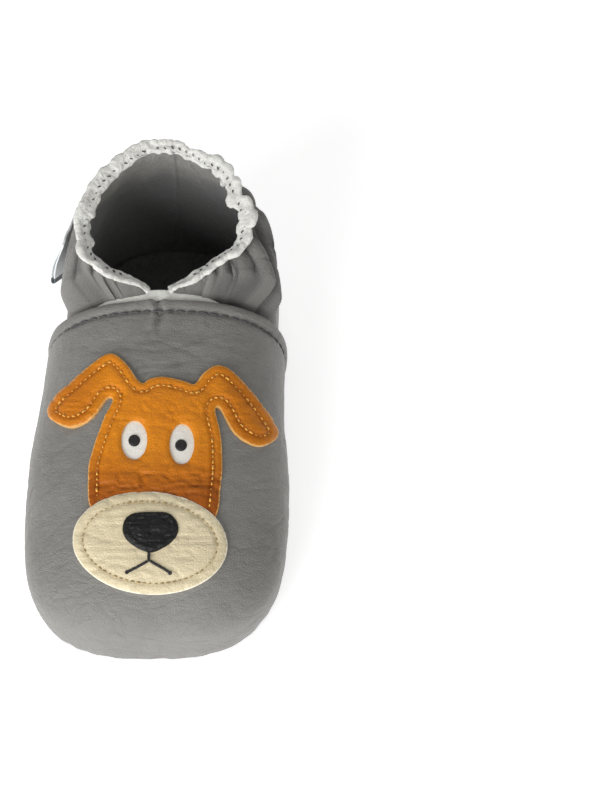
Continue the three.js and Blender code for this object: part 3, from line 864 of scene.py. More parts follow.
class Sole:
    """The suede outsole, its padding and the insole.

    Attributes:
        form: the bootie's form.
    """

    COUNT = 220
    RINGS = 30
    ROUNDING = 0.025

    def __init__(self, form: Form) -> None:
        self.form = form

    def _sheet(self, offset: float, low: float, high: float, curl: float, relief: float) -> Array:
        """Rings of points over the top, round the edge and under a flat piece."""
        outline = self.form.outline(offset, 2.0, self.COUNT)
        spine_y = np.clip(outline[:, 1], self.form.toe + 24, self.form.heel - 22)
        spine = np.stack([self.form.centre(spine_y), spine_y], axis=-1)
        shares = np.linspace(0, 1, self.RINGS) ** 0.8
        top = np.array([np.column_stack([mix(spine, outline, s), np.zeros(self.COUNT)]) for s in shares])
        under = top[::-1].copy()
        edge = ease(shares, 0.80, 1.0)[:, None]
        rim = 1 - self.ROUNDING
        rounding = np.sqrt(np.maximum(0, 1 - np.clip((shares - rim) / self.ROUNDING, 0, 1) ** 2))[:, None]
        thick, middle = (high - low) / 2, (high + low) / 2
        top[..., 2] = middle + thick * rounding + curl * edge + relief * Noise(11).layers(top, 7.0)
        under[..., 2] = middle - thick * rounding[::-1]
        return np.concatenate([top, under[1:]])

    def _piece(self, name: str, grid: Array, finish: Finish) -> bpy.types.Object:
        """One layer's object."""
        faces = grid_faces(len(grid), self.COUNT, wrap=True, flip=True)
        return new_object(name, grid, faces, [finish.build()])

    def build(self) -> None:
        """Makes the three layers."""
        low, high = box_mm("outsole")
        grid = self._sheet(LAYER.quarter + 0.6, low[2], high[2], 0.0, 0.0)
        under = grid[..., 2] < (low[2] + high[2]) / 2
        wave = Noise(5).layers(grid, 9.0) * 0.12
        grid[..., 2] += np.where(under, np.maximum(0, wave), 0) * 0.5
        outsole = self._piece("suede_outsole", grid, Finishes.SOLE)
        finish_piece(outsole, Body.UPPER, Slot.SOLE, "outsole")
        low, high = box_mm("sole_padding")
        grid = self._sheet(-3.4, low[2], high[2], 0.0, 0.08)
        padding = self._piece("foam_padding", grid, Finishes.PADDING)
        finish_piece(padding, Body.UPPER, Slot.PADDING, "sole_padding", fill=0.5)
        low, high = box_mm("insole")
        grid = self._sheet(-3.6, low[2], high[2], 0.5, 0.22)
        insole = self._piece("insole_sheet", grid, Finishes.INSOLE)
        finish_piece(insole, Body.UPPER, Slot.DARK_LINING, "insole")


# ---------------------------------------------------------------- the toe piece


class ToePiece:
    """The grey leather toe piece with its rolled back edge, and its lining.

    Attributes:
        form: the bootie's form.
    """

    ROWS = 230
    COLUMNS = 350
    EDGE_ROWS = 7
    INSIDE_ROWS = 14
    LINING_ROWS = 60
    LINING_FIRST = 20
    STITCH_SETBACK = 3.0
    EDGE_HALF_ANGLE = math.radians(108)

    def __init__(self, form: Form) -> None:
        self.form = form

    def _skin(
        self, edge: Array, inner: float, outer: float, rows: int, columns: int, reach: float,
    ) -> Array:
        """A sheet from the toe to its back edge, folded round the edge and run forward inside by reach."""
        angle = np.linspace(-math.pi, math.pi, columns)
        t = np.linspace(0, 1, rows)
        full = (edge - self.form.middle) / (self.form.half + outer)
        shares = np.sin((1 - t) * math.pi / 2)
        grid = [self.form.point(full - (1 + full) * s, angle, outer) for s in shares]
        round_half = (outer - inner) / 2
        for turn in np.linspace(0, math.pi, self.EDGE_ROWS)[1:]:
            offset = (outer + inner) / 2 + round_half * math.cos(turn)
            back = edge + round_half * math.sin(turn) * 0.8
            grid.append(self.form.point((back - self.form.middle) / (self.form.half + offset), angle, offset))
        for ahead in np.linspace(0, reach, self.INSIDE_ROWS)[1:]:
            station = (edge - ahead - self.form.middle) / (self.form.half + inner)
            grid.append(self.form.point(station, angle, inner))
        return np.array(grid)

    def edge_line(self, offset: float, setback: float, count: int = 400) -> tuple[Array, Array]:
        """Points and outward normals along the back edge, setback in front of it, from side to side."""
        angle = np.linspace(-self.EDGE_HALF_ANGLE, self.EDGE_HALF_ANGLE, count)
        station = (self.form.edge - setback - self.form.middle) / (self.form.half + offset)
        line = self.form.point(station, angle, offset)
        ahead = self.form.point(station - 0.02, angle, offset)
        normal = unit(np.cross(np.gradient(line, axis=0), line - ahead))
        return line, normal

    def _relief(self, grid: Array) -> Array:
        """How far the skin stands out from the form: soft hollows, creases and the seams' puckers."""
        x, y, z = grid[..., 0] - self.form.shift, grid[..., 1], grid[..., 2]
        from_edge = self.form.edge - y
        noise, fine = Noise(3), Noise(8)
        height = noise.layers(grid, 22.0, 4) * 0.55
        side = ease(np.abs(x), 14, 24) * ease(y, -62, -40)
        slant = np.stack([x + 0.6 * y, y - 0.5 * x, z], axis=-1)
        height -= fine.creases(slant, (15.0, 3.0, 8.0)) * 0.20 * side * ease(-y, -4, 12)
        band = bump(y, 5.0, 10.0) * bump(x, 0.0, 20.0)
        across = Noise(21).creases(grid, (11.0, 2.2, 6.0)) + Noise(22).creases(grid, (5.0, 1.6, 3.0))
        height -= across * 0.34 * band
        low = ease(-y, 40, 58)
        height -= Noise(31).creases(slant, (11.0, 3.2, 4.0)) * 0.09 * low
        height -= Noise(32).creases(slant, (5.0, 1.5, 3.0)) * 0.10
        height -= 0.42 * bump(from_edge, self.STITCH_SETBACK, 0.75)
        height += 0.22 * bump(from_edge, 1.2, 1.1)
        pull = 0.5 + 0.5 * np.sin(np.arctan2(x, z) * 95.0)
        height -= 0.12 * pull * bump(from_edge, self.STITCH_SETBACK, 0.6)
        fold = np.abs(x - 0.4 - 0.35 * np.sin(y * 0.9))
        height -= 0.75 * bump(fold, 0.0, 0.75) * ease(y, self.form.edge - 13, self.form.edge - 3)
        height += 0.35 * bump(fold, 1.9, 1.0) * ease(y, self.form.edge - 10, self.form.edge - 3)
        pucker = 0.5 + 0.5 * np.sin(np.arctan2(x, y + 18) * 46 + 3 * noise(grid, 12.0))
        height += 0.22 * (pucker - 0.5) * (1 - ease(z, 2.5, 8.0))
        return height

    def build(self) -> None:
        """Makes the leather and its lining."""
        form = self.form
        grid = self._skin(form.edge, LAYER.vamp_inner, LAYER.vamp, self.ROWS, self.COLUMNS, 16.0)
        normal = grid_normals(grid)
        outer = np.zeros(grid.shape[:2])
        outer[:self.ROWS + 3] = 1
        height = self._relief(grid) * outer
        height[0] = height[1].mean()
        # Painted shade: the leather is darkened in its creases and hollows, by how far its relief sinks.
        shade = np.clip(-height * 0.5, 0, 0.5) * outer
        grid = grid + normal * height[..., None]
        grid[..., 2] = np.maximum(grid[..., 2], 0.2)
        faces = grid_faces(*grid.shape[:2])
        made = new_object(
            "toe_leather", grid, faces, [Finishes.GREY.build()], attributes={"shade": shade})
        clip_low(made, 1.4)
        finish_piece(made, Body.UPPER, Slot.GREY, "vamp")
        self._lining()

    def _lining(self) -> None:
        """The pale lining, whose back edge shows in a shallow arc behind the leather's; painted shade turns
        it near black inside the toe.
        """
        form = self.form
        columns = 160
        angle = np.linspace(-math.pi, math.pi, columns)
        x = form.point(np.full(columns, 0.3), angle, 1.2)[:, 0] - form.shift
        over = np.abs(angle) < 1.5
        arc = 3.9 * np.clip(1 - (x / 19.0) ** 2, -0.4, 1)
        edge = form.edge + np.where(over, arc, -1.2)
        grid = self._skin(
            edge, LAYER.vamp_lining_inner, LAYER.vamp_lining, self.LINING_ROWS, columns, 74.0)
        grid = grid[self.LINING_FIRST:]
        depth = form.edge - grid[..., 1]
        inside = np.zeros(grid.shape[:2])
        inside[self.LINING_ROWS - self.LINING_FIRST + self.EDGE_ROWS - 3:] = 1
        # Painted shade: the lining darkens deeper inside the toe, where little light reaches.
        shade = ease(depth, -1.0, 6.0) * inside
        grid[..., 2] += 0.15 * Noise(14)(grid, 3.0) * bump(depth, -1.5, 3)
        made = new_object(
            "toe_lining", grid, grid_faces(*grid.shape[:2]), [Finishes.STRIP.build()],
            attributes={"shade": shade})
        clip_low(made, 1.9)
        finish_piece(made, Body.UPPER, Slot.PALE, "vamp_lining")


# ---------------------------------------------------------------- quarters and collar


@dataclass
class Rim:
    """The collar's edge as a curve from the left front end round the heel to the right one.

    Attributes:
        form: the bootie's form.
        points: the curve.
        run, length: the distance along it at each point, and in all.
        out: outward directions, level.
        phase: the scallops' phase.
        strength: how deep the scallops are.
    """

    form: Form
    points: Array = field(init=False)
    run: Array = field(init=False)
    length: float = field(init=False)
    out: Array = field(init=False)
    phase: Array = field(init=False)
    strength: Array = field(init=False)
    COUNT = 640
    SCALLOP = 4.4
    LEFT = [
        (-2.4, 23.2, 38.9), (-4.2, 23.9, 40.2), (-8.8, 24.6, 42.0), (-14.9, 26.2, 44.8),
        (-18.3, 29.6, 46.9), (-19.4, 35.2, 49.2), (-18.2, 40.2, 51.0), (-16.6, 44.4, 52.5),
        (-12.6, 49.6, 54.0), (-8.7, 53.0, 54.8), (-3.7, 56.1, 55.8)]
    RIGHT = [
        (1.6, 57.0, 56.1), (7.4, 55.6, 55.6), (12.2, 53.2, 54.8), (16.8, 50.4, 54.5),
        (18.9, 46.8, 53.5), (21.9, 40.5, 51.5), (22.6, 35.5, 49.6), (21.2, 30.6, 47.5),
        (15.0, 27.6, 44.5), (8.6, 24.9, 41.0), (4.6, 23.9, 39.6), (3.2, 23.2, 38.7)]

    def __post_init__(self) -> None:
        line = smooth_line(self.LEFT + self.RIGHT, 900)
        line = even_line(line, length_of(line) / self.COUNT)
        self.points = line + np.array([self.form.shift, self.form.centre_y, 0])
        self.run = run = run_along(self.points)
        self.length = run[-1]
        flat = self.points - np.array([self.form.shift + 1.5, 40.0, 0.0])
        flat[:, 2] = 0
        out = unit(np.cross(tangents(self.points), UP))
        self.out = out * np.sign(np.sum(out * flat, axis=1))[:, None]
        noise = Noise(77)
        strength = noise(np.stack([run, run * 0, run * 0], -1), 16.0)
        wander = noise(np.stack([run, run * 0 + 9, run * 0], -1), 8.0)
        self.phase = run / self.SCALLOP * 2 * math.pi + 3.2 * wander
        front = ease(run, 8, 17) * ease(self.length - run, 8, 17)
        back = bump(run, self.length / 2, 11.0)
        self.strength = front * (0.72 + 0.55 * strength) * (1 - 0.55 * back) + 0.10
        self.strength *= 0.85 + 0.3 * ease(run, self.length * 0.55, self.length * 0.7)


class Quarters:
    """The two gathered leather quarters and their linings, lofted from the collar's edge to the sole.

    Attributes:
        form: the bootie's form.
        rim: the collar's edge.
        fall: each row's share of the way down.
        skin: the leather's points, once it is made.
    """

    ROWS = 120
    INSET = 1.4
    UNDERLAP = 9.0
    DROPS = [
        (0, 0), (0.10, 0.045), (0.22, 0.15), (0.30, 0.26), (0.5, 0.5), (0.70, 0.74), (0.78, 0.85),
        (0.90, 0.955), (1, 1)]

    def __init__(self, form: Form, rim: Rim) -> None:
        self.form = form
        self.rim = rim
        self.fall = np.linspace(0, 1, self.ROWS)[:, None] ** 0.92
        self.skin = np.zeros((0, 3))

    def seam_column(self) -> int:
        """The column of the heel seam."""
        x, y = self.rim.points[:, 0], self.rim.points[:, 1]
        return int(np.argmin(np.abs(x - self.form.seam) + (y < 40) * 99))

    def _base(self) -> Array:
        """The lower edge: under the toe piece's arch, down to the sole and round the heel."""
        form = self.form
        offset = LAYER.quarter - 0.4
        angle = np.linspace(math.radians(4), math.radians(112), 120)
        station = (form.edge - self.UNDERLAP - form.middle) / (form.half + offset)
        right = form.point(station, angle, offset)
        left = form.point(station, -angle, offset)
        arch_right, arch_left = right[right[:, 2] > 1.9], left[left[:, 2] > 1.9]
        outline = form.outline(LAYER.quarter - 0.2, 2.0, 900)
        outline = np.column_stack([outline, np.full(len(outline), 1.8)])
        back = outline[outline[:, 1] > form.edge - self.UNDERLAP]
        order = np.argsort(np.arctan2(back[:, 0] - form.seam, back[:, 1] - 20))
        line = even_line(np.vstack([arch_left, back[order], arch_right[::-1]]), 0.25)
        run = run_along(line)
        run /= run[-1]
        at = spline(self.DROPS, self.rim.run / self.rim.length)
        return np.stack([np.interp(at, run, line[:, k]) for k in range(3)], axis=-1)

    def surface(self, inset: float) -> Array:
        """Smooth lofted rows from the rim, row 0, to the base."""
        form, rim = self.form, self.rim
        top = rim.points - inset * rim.out
        base = self._base()
        inward = base - np.array([form.seam - 1.5, 34.0, 0])
        inward[:, 2] = 0
        out_base = unit(inward)
        base = base - inset * out_base
        share = (rim.run / rim.length)[:, None]
        side = bump(share, 0.27, 0.12) + bump(share, 0.73, 0.12)
        back = bump(share, 0.5, 0.13)
        right = ease(share, 0.5, 0.72)
        under = 1 - ease(np.minimum(share, 1 - share), 0.06, 0.24)
        drop = (top - base)[:, 2:3]
        swell = (4.2 + 5.8 * right) * side + 3.6 * back + 1.2 * under
        first = top + rim.out * swell + UP * (-0.16 * drop) * (1 - under)
        first = first + under * (base - top) * 0.33
        bulge = (2.6 + 2.4 * right) * side + (2.4 + 0.8 * right) * back
        second = base + out_base * bulge * (1 - under)
        second = second + UP * (0.42 * drop) * (1 - under) + under * (top - base) * 0.33
        t = self.fall[..., None]
        rest = 1 - t
        return (rest ** 3 * top[None] + 3 * rest ** 2 * t * first[None] + 3 * rest * t ** 2 * second[None]
                + t ** 3 * base[None])

    def gathers(self, grid: Array) -> Array:
        """How far the leather stands out in gathers that fan down from the rim."""
        rim, t = self.rim, self.fall
        run = rim.run[None, :]
        share = run / rim.length
        spot = np.stack(np.broadcast_arrays(run * 0.9, t * 26, run * 0), axis=-1)
        drift = Noise(41)(spot, 11.0)
        lobes = np.abs(np.sin(rim.phase[None, :] / 2 + 0.8 * drift * t)) ** 0.65
        small = (lobes - 0.62) * rim.strength[None, :] * (1 - ease(t, 0.10, 0.52))
        phase = rim.phase[None, :] / 5.2 + 1.3 * drift
        folds = np.abs(np.sin(phase)) ** 0.75 - 0.62
        sides = bump(share, 0.26, 0.13) + 1.75 * bump(share, 0.72, 0.15) + 0.35 * bump(share, 0.5, 0.1)
        large = folds * ease(t, 0.02, 0.16) * (1 - ease(t, 0.40, 0.86)) * sides
        front = bump(share, 0.13, 0.055) + bump(share, 0.87, 0.055)
        creases = np.sin(rim.phase[None, :] * 0.62 + 2.0 * drift) * front * ease(t, 0.05, 0.25)
        soft = Noise(53).layers(grid, 15.0, 3)
        small_creases = Noise(61).creases(grid, (4.5, 4.5, 14.0)) * (1 - ease(t, 0.35, 0.7))
        height = 2.5 * small + 2.7 * large + 1.3 * creases + 0.6 * soft * ease(t, 0.1, 0.3)
        height = height - 0.35 * small_creases
        return height * (1 - 0.8 * ease(t, 0.93, 1.0))

    def _shell(self, name: str, inset: float, finish: Finish, inner: bool) -> list[bpy.types.Object]:
        """Left and right sheets of one layer."""
        grid = self.surface(inset)
        normal = grid_normals(grid)
        heel = len(self.rim.points) // 2
        if np.sum(normal[5, heel] * self.rim.out[heel]) < 0:
            normal = -normal
        height = self.gathers(grid)
        t = self.fall * np.ones_like(height)
        run = self.rim.run[None, :] / self.rim.length * np.ones_like(height)
        if inner:
            ripple = Noise(71)(grid, (6.0, 6.0, 3.0))
            height = np.minimum(height * 0.35 + 0.30 * ripple, height + 0.55)
            # Painted shade: the lining darkens below an uneven line some way down from the rim and towards
            # its front ends under the toe piece; a dark line also follows the heel seam.
            depth_line = 0.18 + 0.10 * Noise(72)(grid, 7.0) + 0.13 * bump(run, 0.44, 0.2)
            shade = ease(t, depth_line, depth_line + 0.16) * 0.97
            seam = bump(grid[..., 0], self.form.seam, 0.4) * (grid[..., 1] > 40)
            height -= 0.5 * seam
            shade = np.maximum(shade, 0.7 * seam)
            shade = np.maximum(shade, 0.9 * (1 - ease(np.minimum(run, 1 - run), 0.20, 0.34)))
        else:
            seam = np.abs(grid[..., 0] - self.form.seam)
            height = height - 0.7 * bump(seam, 0, 0.7) * (run > 0.4) * (run < 0.6)
            # Painted shade: a little over all the leather, more in the gathers' hollows near the rim and most
            # over the upper part of the inner quarter, on the right.
            inner_side = 0.50 * bump(run, 0.76, 0.16) * (1 - ease(t, 0.45, 0.8))
            shade = np.clip(0.35 - height * 0.35, 0, 0.8) * (1 - ease(t, 0.4, 0.8)) + 0.05 + inner_side
            shade = np.minimum(shade, 0.95)
        grid = grid + normal * height[..., None]
        grid = self._below_toe_piece(grid, -1.7 if inner else -0.1)
        if not inner:
            self.skin = grid
        middle = self.seam_column()
        made = []
        for label, columns in (("outer", slice(0, middle + 1)), ("inner", slice(middle, None))):
            part = grid[:, columns]
            made.append(new_object(
                f"{name}_{label}", part, grid_faces(*part.shape[:2], flip=inner), [finish.build()],
                attributes={"shade": shade[:, columns]}))
        return made

    def _below_toe_piece(self, grid: Array, offset: float) -> Array:
        """Presses a sheet down onto the form where it runs under the toe piece."""
        form = self.form
        under = 1 - ease(grid[..., 1], form.edge + 1.0, form.edge + 5.5)
        value = np.maximum(form.outside(grid, offset), 0)
        centre = np.stack([form.centre(grid[..., 1]), grid[..., 1], form.belt(grid[..., 1])], axis=-1)
        shrink = mix(np.ones_like(value), (value + 1) ** (-1 / form.POWER), under)
        return centre + (grid - centre) * shrink[..., None]

    def build(self) -> None:
        """Makes leather and lining."""
        for name, inset, finish, slot, node in (
            ("quarter_leather", 0.0, Finishes.GREY, Slot.GREY, "quarter"),
            ("quarter_lining", self.INSET, Finishes.LINING, Slot.DARK_LINING, "quarter_lining"),
        ):
            sheets = self._shell(name, inset, finish, slot is Slot.DARK_LINING)
            for sheet, side in zip(sheets, ("outer", "inner")):
                finish_piece(sheet, Body.UPPER, slot, f"{node}_{side}")


class Collar:
    """The pale scalloped binding and the elastic inside it.

    Attributes:
        rim: the collar's edge.
    """

    AROUND = 34
    WIDE = 2.6
    THICK = 1.05
    LEAN = 0.90
    ELASTIC_SETBACK = 60
    ELASTIC_AROUND = 10

    def __init__(self, rim: Rim) -> None:
        self.rim = rim

    def _axis(self) -> Array:
        """The direction that the binding's flat section stands in: up and outwards."""
        return unit(self.rim.out * math.sin(self.LEAN) + UP * math.cos(self.LEAN))

    def grid(self) -> Array:
        """The binding's skin: a folded strip gathered into uneven scallops."""
        rim = self.rim
        axis = self._axis()
        lobes = np.abs(np.sin(rim.phase / 2)) ** 0.7
        wander = Noise(78)(np.stack([rim.run, rim.run * 0 + 3, rim.run * 0], -1), 5.0)
        swell = (lobes - 0.6 + 0.7 * wander) * rim.strength
        ends = ease(rim.run, 0, 9) * ease(rim.length - rim.run, 0, 9)
        behind = bump(rim.run, rim.length * 0.5, 17.0)
        share_scale = (0.60 + 0.34 * ends - 0.26 * behind)[:, None]

        def section(_: Array, angle: Array) -> tuple[Array, Array]:
            """The folded strip: thin, tall and fuller at its top."""
            flat, tall = np.cos(angle), np.sin(angle)
            out = self.THICK * np.sign(flat) * np.abs(flat) ** 0.8 * (1 + 0.18 * swell[:, None])
            rise = self.WIDE * np.sign(tall) * np.abs(tall) ** 0.85
            fuller = 0.52 * ease(tall, -0.3, 0.4) - 0.30 * ease(-tall, 0.2, 0.8)
            rise = rise * (1 + swell[:, None] * fuller)
            return out * share_scale, rise * share_scale

        lifted = rim.points + axis * (0.35 + 0.75 * swell)[:, None] - rim.out * 0.35
        weave = 0.30 * np.sin(rim.phase / 2 + 0.9) * rim.strength
        lifted = lifted + rim.out * weave[:, None]
        grid = sweep(lifted, section, axis, self.AROUND)
        normal = grid_normals(grid, wrap=True)
        centre = lifted[:, None, :]
        normal *= np.sign(np.sum(normal * (grid - centre), axis=-1, keepdims=True))
        fuzz = 0.20 * Noise(91)(grid, 1.1) + 0.38 * Noise(92)(grid, 2.2) + 0.12 * Noise(93)(grid, 0.55)
        channel = -0.34 * bump(np.sin(full_turn(self.AROUND)[None, :]), 0.05, 0.22)
        return grid + normal * (fuzz + channel)[..., None]

    def stitch_line(self) -> tuple[Array, Array]:
        """Places and normals of the stitches along the binding's outer face."""
        rim = self.rim
        axis = self._axis()
        face = unit(np.cross(axis, tangents(rim.points)))
        face *= np.sign(face @ UP)[:, None]
        lifted = rim.points + axis * 0.1 - rim.out * 0.35
        return lifted + face * (self.THICK - 0.30), face

    def build(self) -> None:
        """Makes the binding and the elastic."""
        grid = self.grid()
        rows = len(grid)
        inner_side = ease(-np.cos(full_turn(self.AROUND)[None, :]), 0.2, 0.9) * np.ones((rows, 1))
        stain = ease(Noise(95)(grid, 9.0), 0.05, 0.6) * inner_side * 0.55
        made = new_object(
            "collar_binding_strip", grid, grid_faces(rows, self.AROUND, wrap=True),
            [Finishes.PALE.build()], attributes={"shade": stain})
        finish_piece(made, Body.UPPER, Slot.PALE, "collar_binding")

        def band(share: Array, turn: Array) -> tuple[Array, Array]:
            """The elastic: a flat oval, crimped along its length."""
            crimp = 1 + 0.12 * np.sin(share * 260)
            return 0.38 * np.cos(turn) * crimp, 0.62 * np.sin(turn) * crimp

        every = slice(self.ELASTIC_SETBACK, -self.ELASTIC_SETBACK, 4)
        line = self.rim.points - np.array([0, 0, 0.2]) - self.rim.out * 0.35
        ring = sweep(line[every], band, self._axis()[every], self.ELASTIC_AROUND)
        faces = grid_faces(len(ring), self.ELASTIC_AROUND, wrap=True)
        made = new_object("elastic_band", ring, faces, [Finishes.ELASTIC.build()])
        finish_piece(made, Body.UPPER, Slot.ELASTIC, "collar_elastic")


# ---------------------------------------------------------------- stitches


@dataclass(frozen=True)
class Stitch:
    """One kind of stitch.

    Attributes:
        thread: the thread.
        length, radius, arch: the stitch's length, its thread's radius and its rise, in millimetres.
        seed: chooses the unevenness.
        uneven: how much the stitches' sizes differ.
    """

    thread: Finish
    length: float
    radius: float
    arch: float
    seed: int
    uneven: float = 0.12


class Stitches:
    """Rows of separate thread stitches, each row instanced by one Geometry Nodes tree."""

    TREE = "stitch row"
    STEPS = 6
    SIDES = 7
    SINK = -0.6

    @classmethod
    def tree(cls) -> bpy.types.NodeTree:
        """The tree: a small arched length of thread on every point, laid along it."""
        if cls.TREE in bpy.data.node_groups:
            return bpy.data.node_groups[cls.TREE]
        t, group_in, group_out = node_group(
            cls.TREE, "GeometryNodeTree",
            [("Geometry", "Geometry"), ("Stitch Length", "Float"), ("Thread Radius", "Float"),
             ("Arch", "Float"), ("Unevenness", "Float"), ("Seed", "Int"), ("Thread", "Material")],
            [("Geometry", "Geometry")])
        given = group_in.outputs
        half = t.math("MULTIPLY", given["Stitch Length"], 0.5)
        dip = t.math("MULTIPLY", given["Thread Radius"], cls.SINK)
        start, end = (
            t.node("ShaderNodeCombineXYZ", {0: x, 2: dip}).outputs[0]
            for x in (t.math("MULTIPLY", half, -1.0), half))
        crown = t.node("ShaderNodeCombineXYZ", {2: given["Arch"]}).outputs[0]
        curve = t.node("GeometryNodeCurveQuadraticBezier", {
            "Resolution": cls.STEPS, "Start": start, "Middle": crown, "End": end})
        circle = t.node("GeometryNodeCurvePrimitiveCircle", {
            "Resolution": cls.SIDES, "Radius": given["Thread Radius"]})
        tube = t.node("GeometryNodeCurveToMesh", {
            "Fill Caps": True, "Curve": curve.outputs[0], "Profile Curve": circle.outputs[0]})
        along, above = (
            t.node("GeometryNodeInputNamedAttribute", {"Name": label}, data_type="FLOAT_VECTOR")
            .outputs["Attribute"] for label in ("stitch_along", "stitch_up"))
        turn = t.node("FunctionNodeAlignEulerToVector", {"Vector": along}, axis="X").outputs[0]
        roll = t.node(
            "FunctionNodeAlignEulerToVector", {"Rotation": turn, "Vector": above}, axis="Z", pivot_axis="X")
        chance = t.node("FunctionNodeRandomValue", {
            2: t.math("SUBTRACT", 1.0, given["Unevenness"]), 3: t.math("ADD", 1.0, given["Unevenness"]),
            "Seed": given["Seed"]}, data_type="FLOAT")
        place = t.node("GeometryNodeInstanceOnPoints", {
            "Points": given["Geometry"], "Instance": tube.outputs[0], "Rotation": roll.outputs[0],
            "Scale": chance.outputs[1]})
        real = t.node("GeometryNodeRealizeInstances", {0: place.outputs[0]})
        paint = t.node("GeometryNodeSetMaterial", {
            "Geometry": real.outputs[0], "Material": given["Thread"]})
        t.feed(group_out, {0: paint.outputs[0]})
        return t.tree

    @classmethod
    def sew(cls, name: str, places: Array, along: Array, up: Array, stitch: Stitch) -> bpy.types.Object:
        """One row of stitches as a plain mesh.

        Args:
            name: the piece's name.
            places, along, up: each stitch's middle, direction and outward normal.
            stitch: the kind of stitch.
        Returns:
            The row's object.
        """
        mesh = bpy.data.meshes.new(name + "_points")
        mesh.from_pydata((places * MM).tolist(), [], [])
        for label, values in (("stitch_along", along), ("stitch_up", up)):
            layer = mesh.attributes.new(label, "FLOAT_VECTOR", "POINT")
            layer.data.foreach_set("vector", np.asarray(values, np.float32).ravel())
        source = bpy.data.objects.new(name + "_points", mesh)
        bpy.context.scene.collection.objects.link(source)
        modifier = source.modifiers.new("row", "NODES")
        modifier.node_group = cls.tree()
        given = {item.name: item.identifier for item in modifier.node_group.interface.items_tree
                 if item.item_type == "SOCKET" and item.in_out == "INPUT"}
        for label, value in {
            "Stitch Length": stitch.length * MM, "Thread Radius": stitch.radius * MM,
            "Arch": stitch.arch * MM, "Unevenness": stitch.uneven, "Seed": stitch.seed,
            "Thread": stitch.thread.build(),
        }.items():
            modifier[given[label]] = value
        bpy.context.view_layer.update()
        solid = bpy.data.meshes.new_from_object(source.evaluated_get(bpy.context.evaluated_depsgraph_get()))
        bpy.data.objects.remove(source)
        solid.name = name
        if not solid.materials:
            solid.materials.append(stitch.thread.build())
        solid.polygons.foreach_set("use_smooth", np.ones(len(solid.polygons), bool))
        made = bpy.data.objects.new(name, solid)
        bpy.context.scene.collection.objects.link(made)
        return made

    @staticmethod
    def spaced(line: Array, normal: Array, pitch: float, closed: bool = False) -> tuple[Array, Array, Array]:
        """Even places along a line, with directions and normals."""
        both = even_line(np.hstack([line, normal]), pitch / 4, closed)
        places, up = both[:, :3], unit(both[:, 3:])
        return places[2::4], tangents(places, closed)[2::4], up[2::4]


# ---------------------------------------------------------------- the face


def inside_loop(points: Array, loop: Array) -> Array:
    """Which (n, 2) points lie inside a closed loop."""
    x, y = points[:, 0][:, None], points[:, 1][:, None]
    ax, ay = loop[:, 0][None], loop[:, 1][None]
    bx, by = np.roll(loop[:, 0], -1)[None], np.roll(loop[:, 1], -1)[None]
    cross = ((ay > y) != (by > y)) & (x < (bx - ax) * (y - ay) / np.where(by == ay, 1e-9, by - ay) + ax)
    return cross.sum(axis=1) % 2 == 1


def loop_distance(points: Array, loop: Array) -> tuple[Array, Array]:
    """Distance to a closed loop, and the share of its length at the nearest point."""
    a, b = loop, np.roll(loop, -1, axis=0)
    step = b - a
    size = np.maximum((step ** 2).sum(1), 1e-12)
    run = np.concatenate([[0], np.cumsum(np.sqrt(size))])
    best = np.full(len(points), 1e9)
    share = np.zeros(len(points))
    for i in range(len(a)):
        t = np.clip(((points - a[i]) @ step[i]) / size[i], 0, 1)
        gap = np.linalg.norm(points - a[i] - t[:, None] * step[i], axis=1)
        closer = gap < best
        best = np.where(closer, gap, best)
        share = np.where(closer, (run[i] + t * math.sqrt(size[i])) / run[-1], share)
    return best, share


def anticlockwise(loop: Array) -> Array:
    """A closed loop turned anticlockwise."""
    area = np.sum(loop[:, 0] * np.roll(loop[:, 1], -1) - loop[:, 1] * np.roll(loop[:, 0], -1))
    return loop if area > 0 else loop[::-1]


def spots(verts: Array) -> Array:
    """(n, 2) points with a third coordinate of 0, to read noise at."""
    return np.column_stack([verts, np.zeros(len(verts))])


@dataclass(frozen=True)
class Oval:
    """An ellipse in the face's plane.

    Attributes:
        x, y: its middle.
        wide, high: its half sizes.
        turn: its turn in degrees.
    """

    x: float
    y: float
    wide: float
    high: float
    turn: float = 0.0

    def loop(self, inset: float = 0.0, spacing: float = 0.5) -> Array:
        """Evenly spaced points on the ellipse, anticlockwise."""
        angle = full_turn(400)
        turn = math.radians(self.turn)
        a, b = (self.wide - inset) * np.cos(angle), (self.high - inset) * np.sin(angle)
        x = self.x + a * math.cos(turn) - b * math.sin(turn)
        y = self.y + a * math.sin(turn) + b * math.cos(turn)
        return even_line(np.stack([x, y], -1), spacing, closed=True)


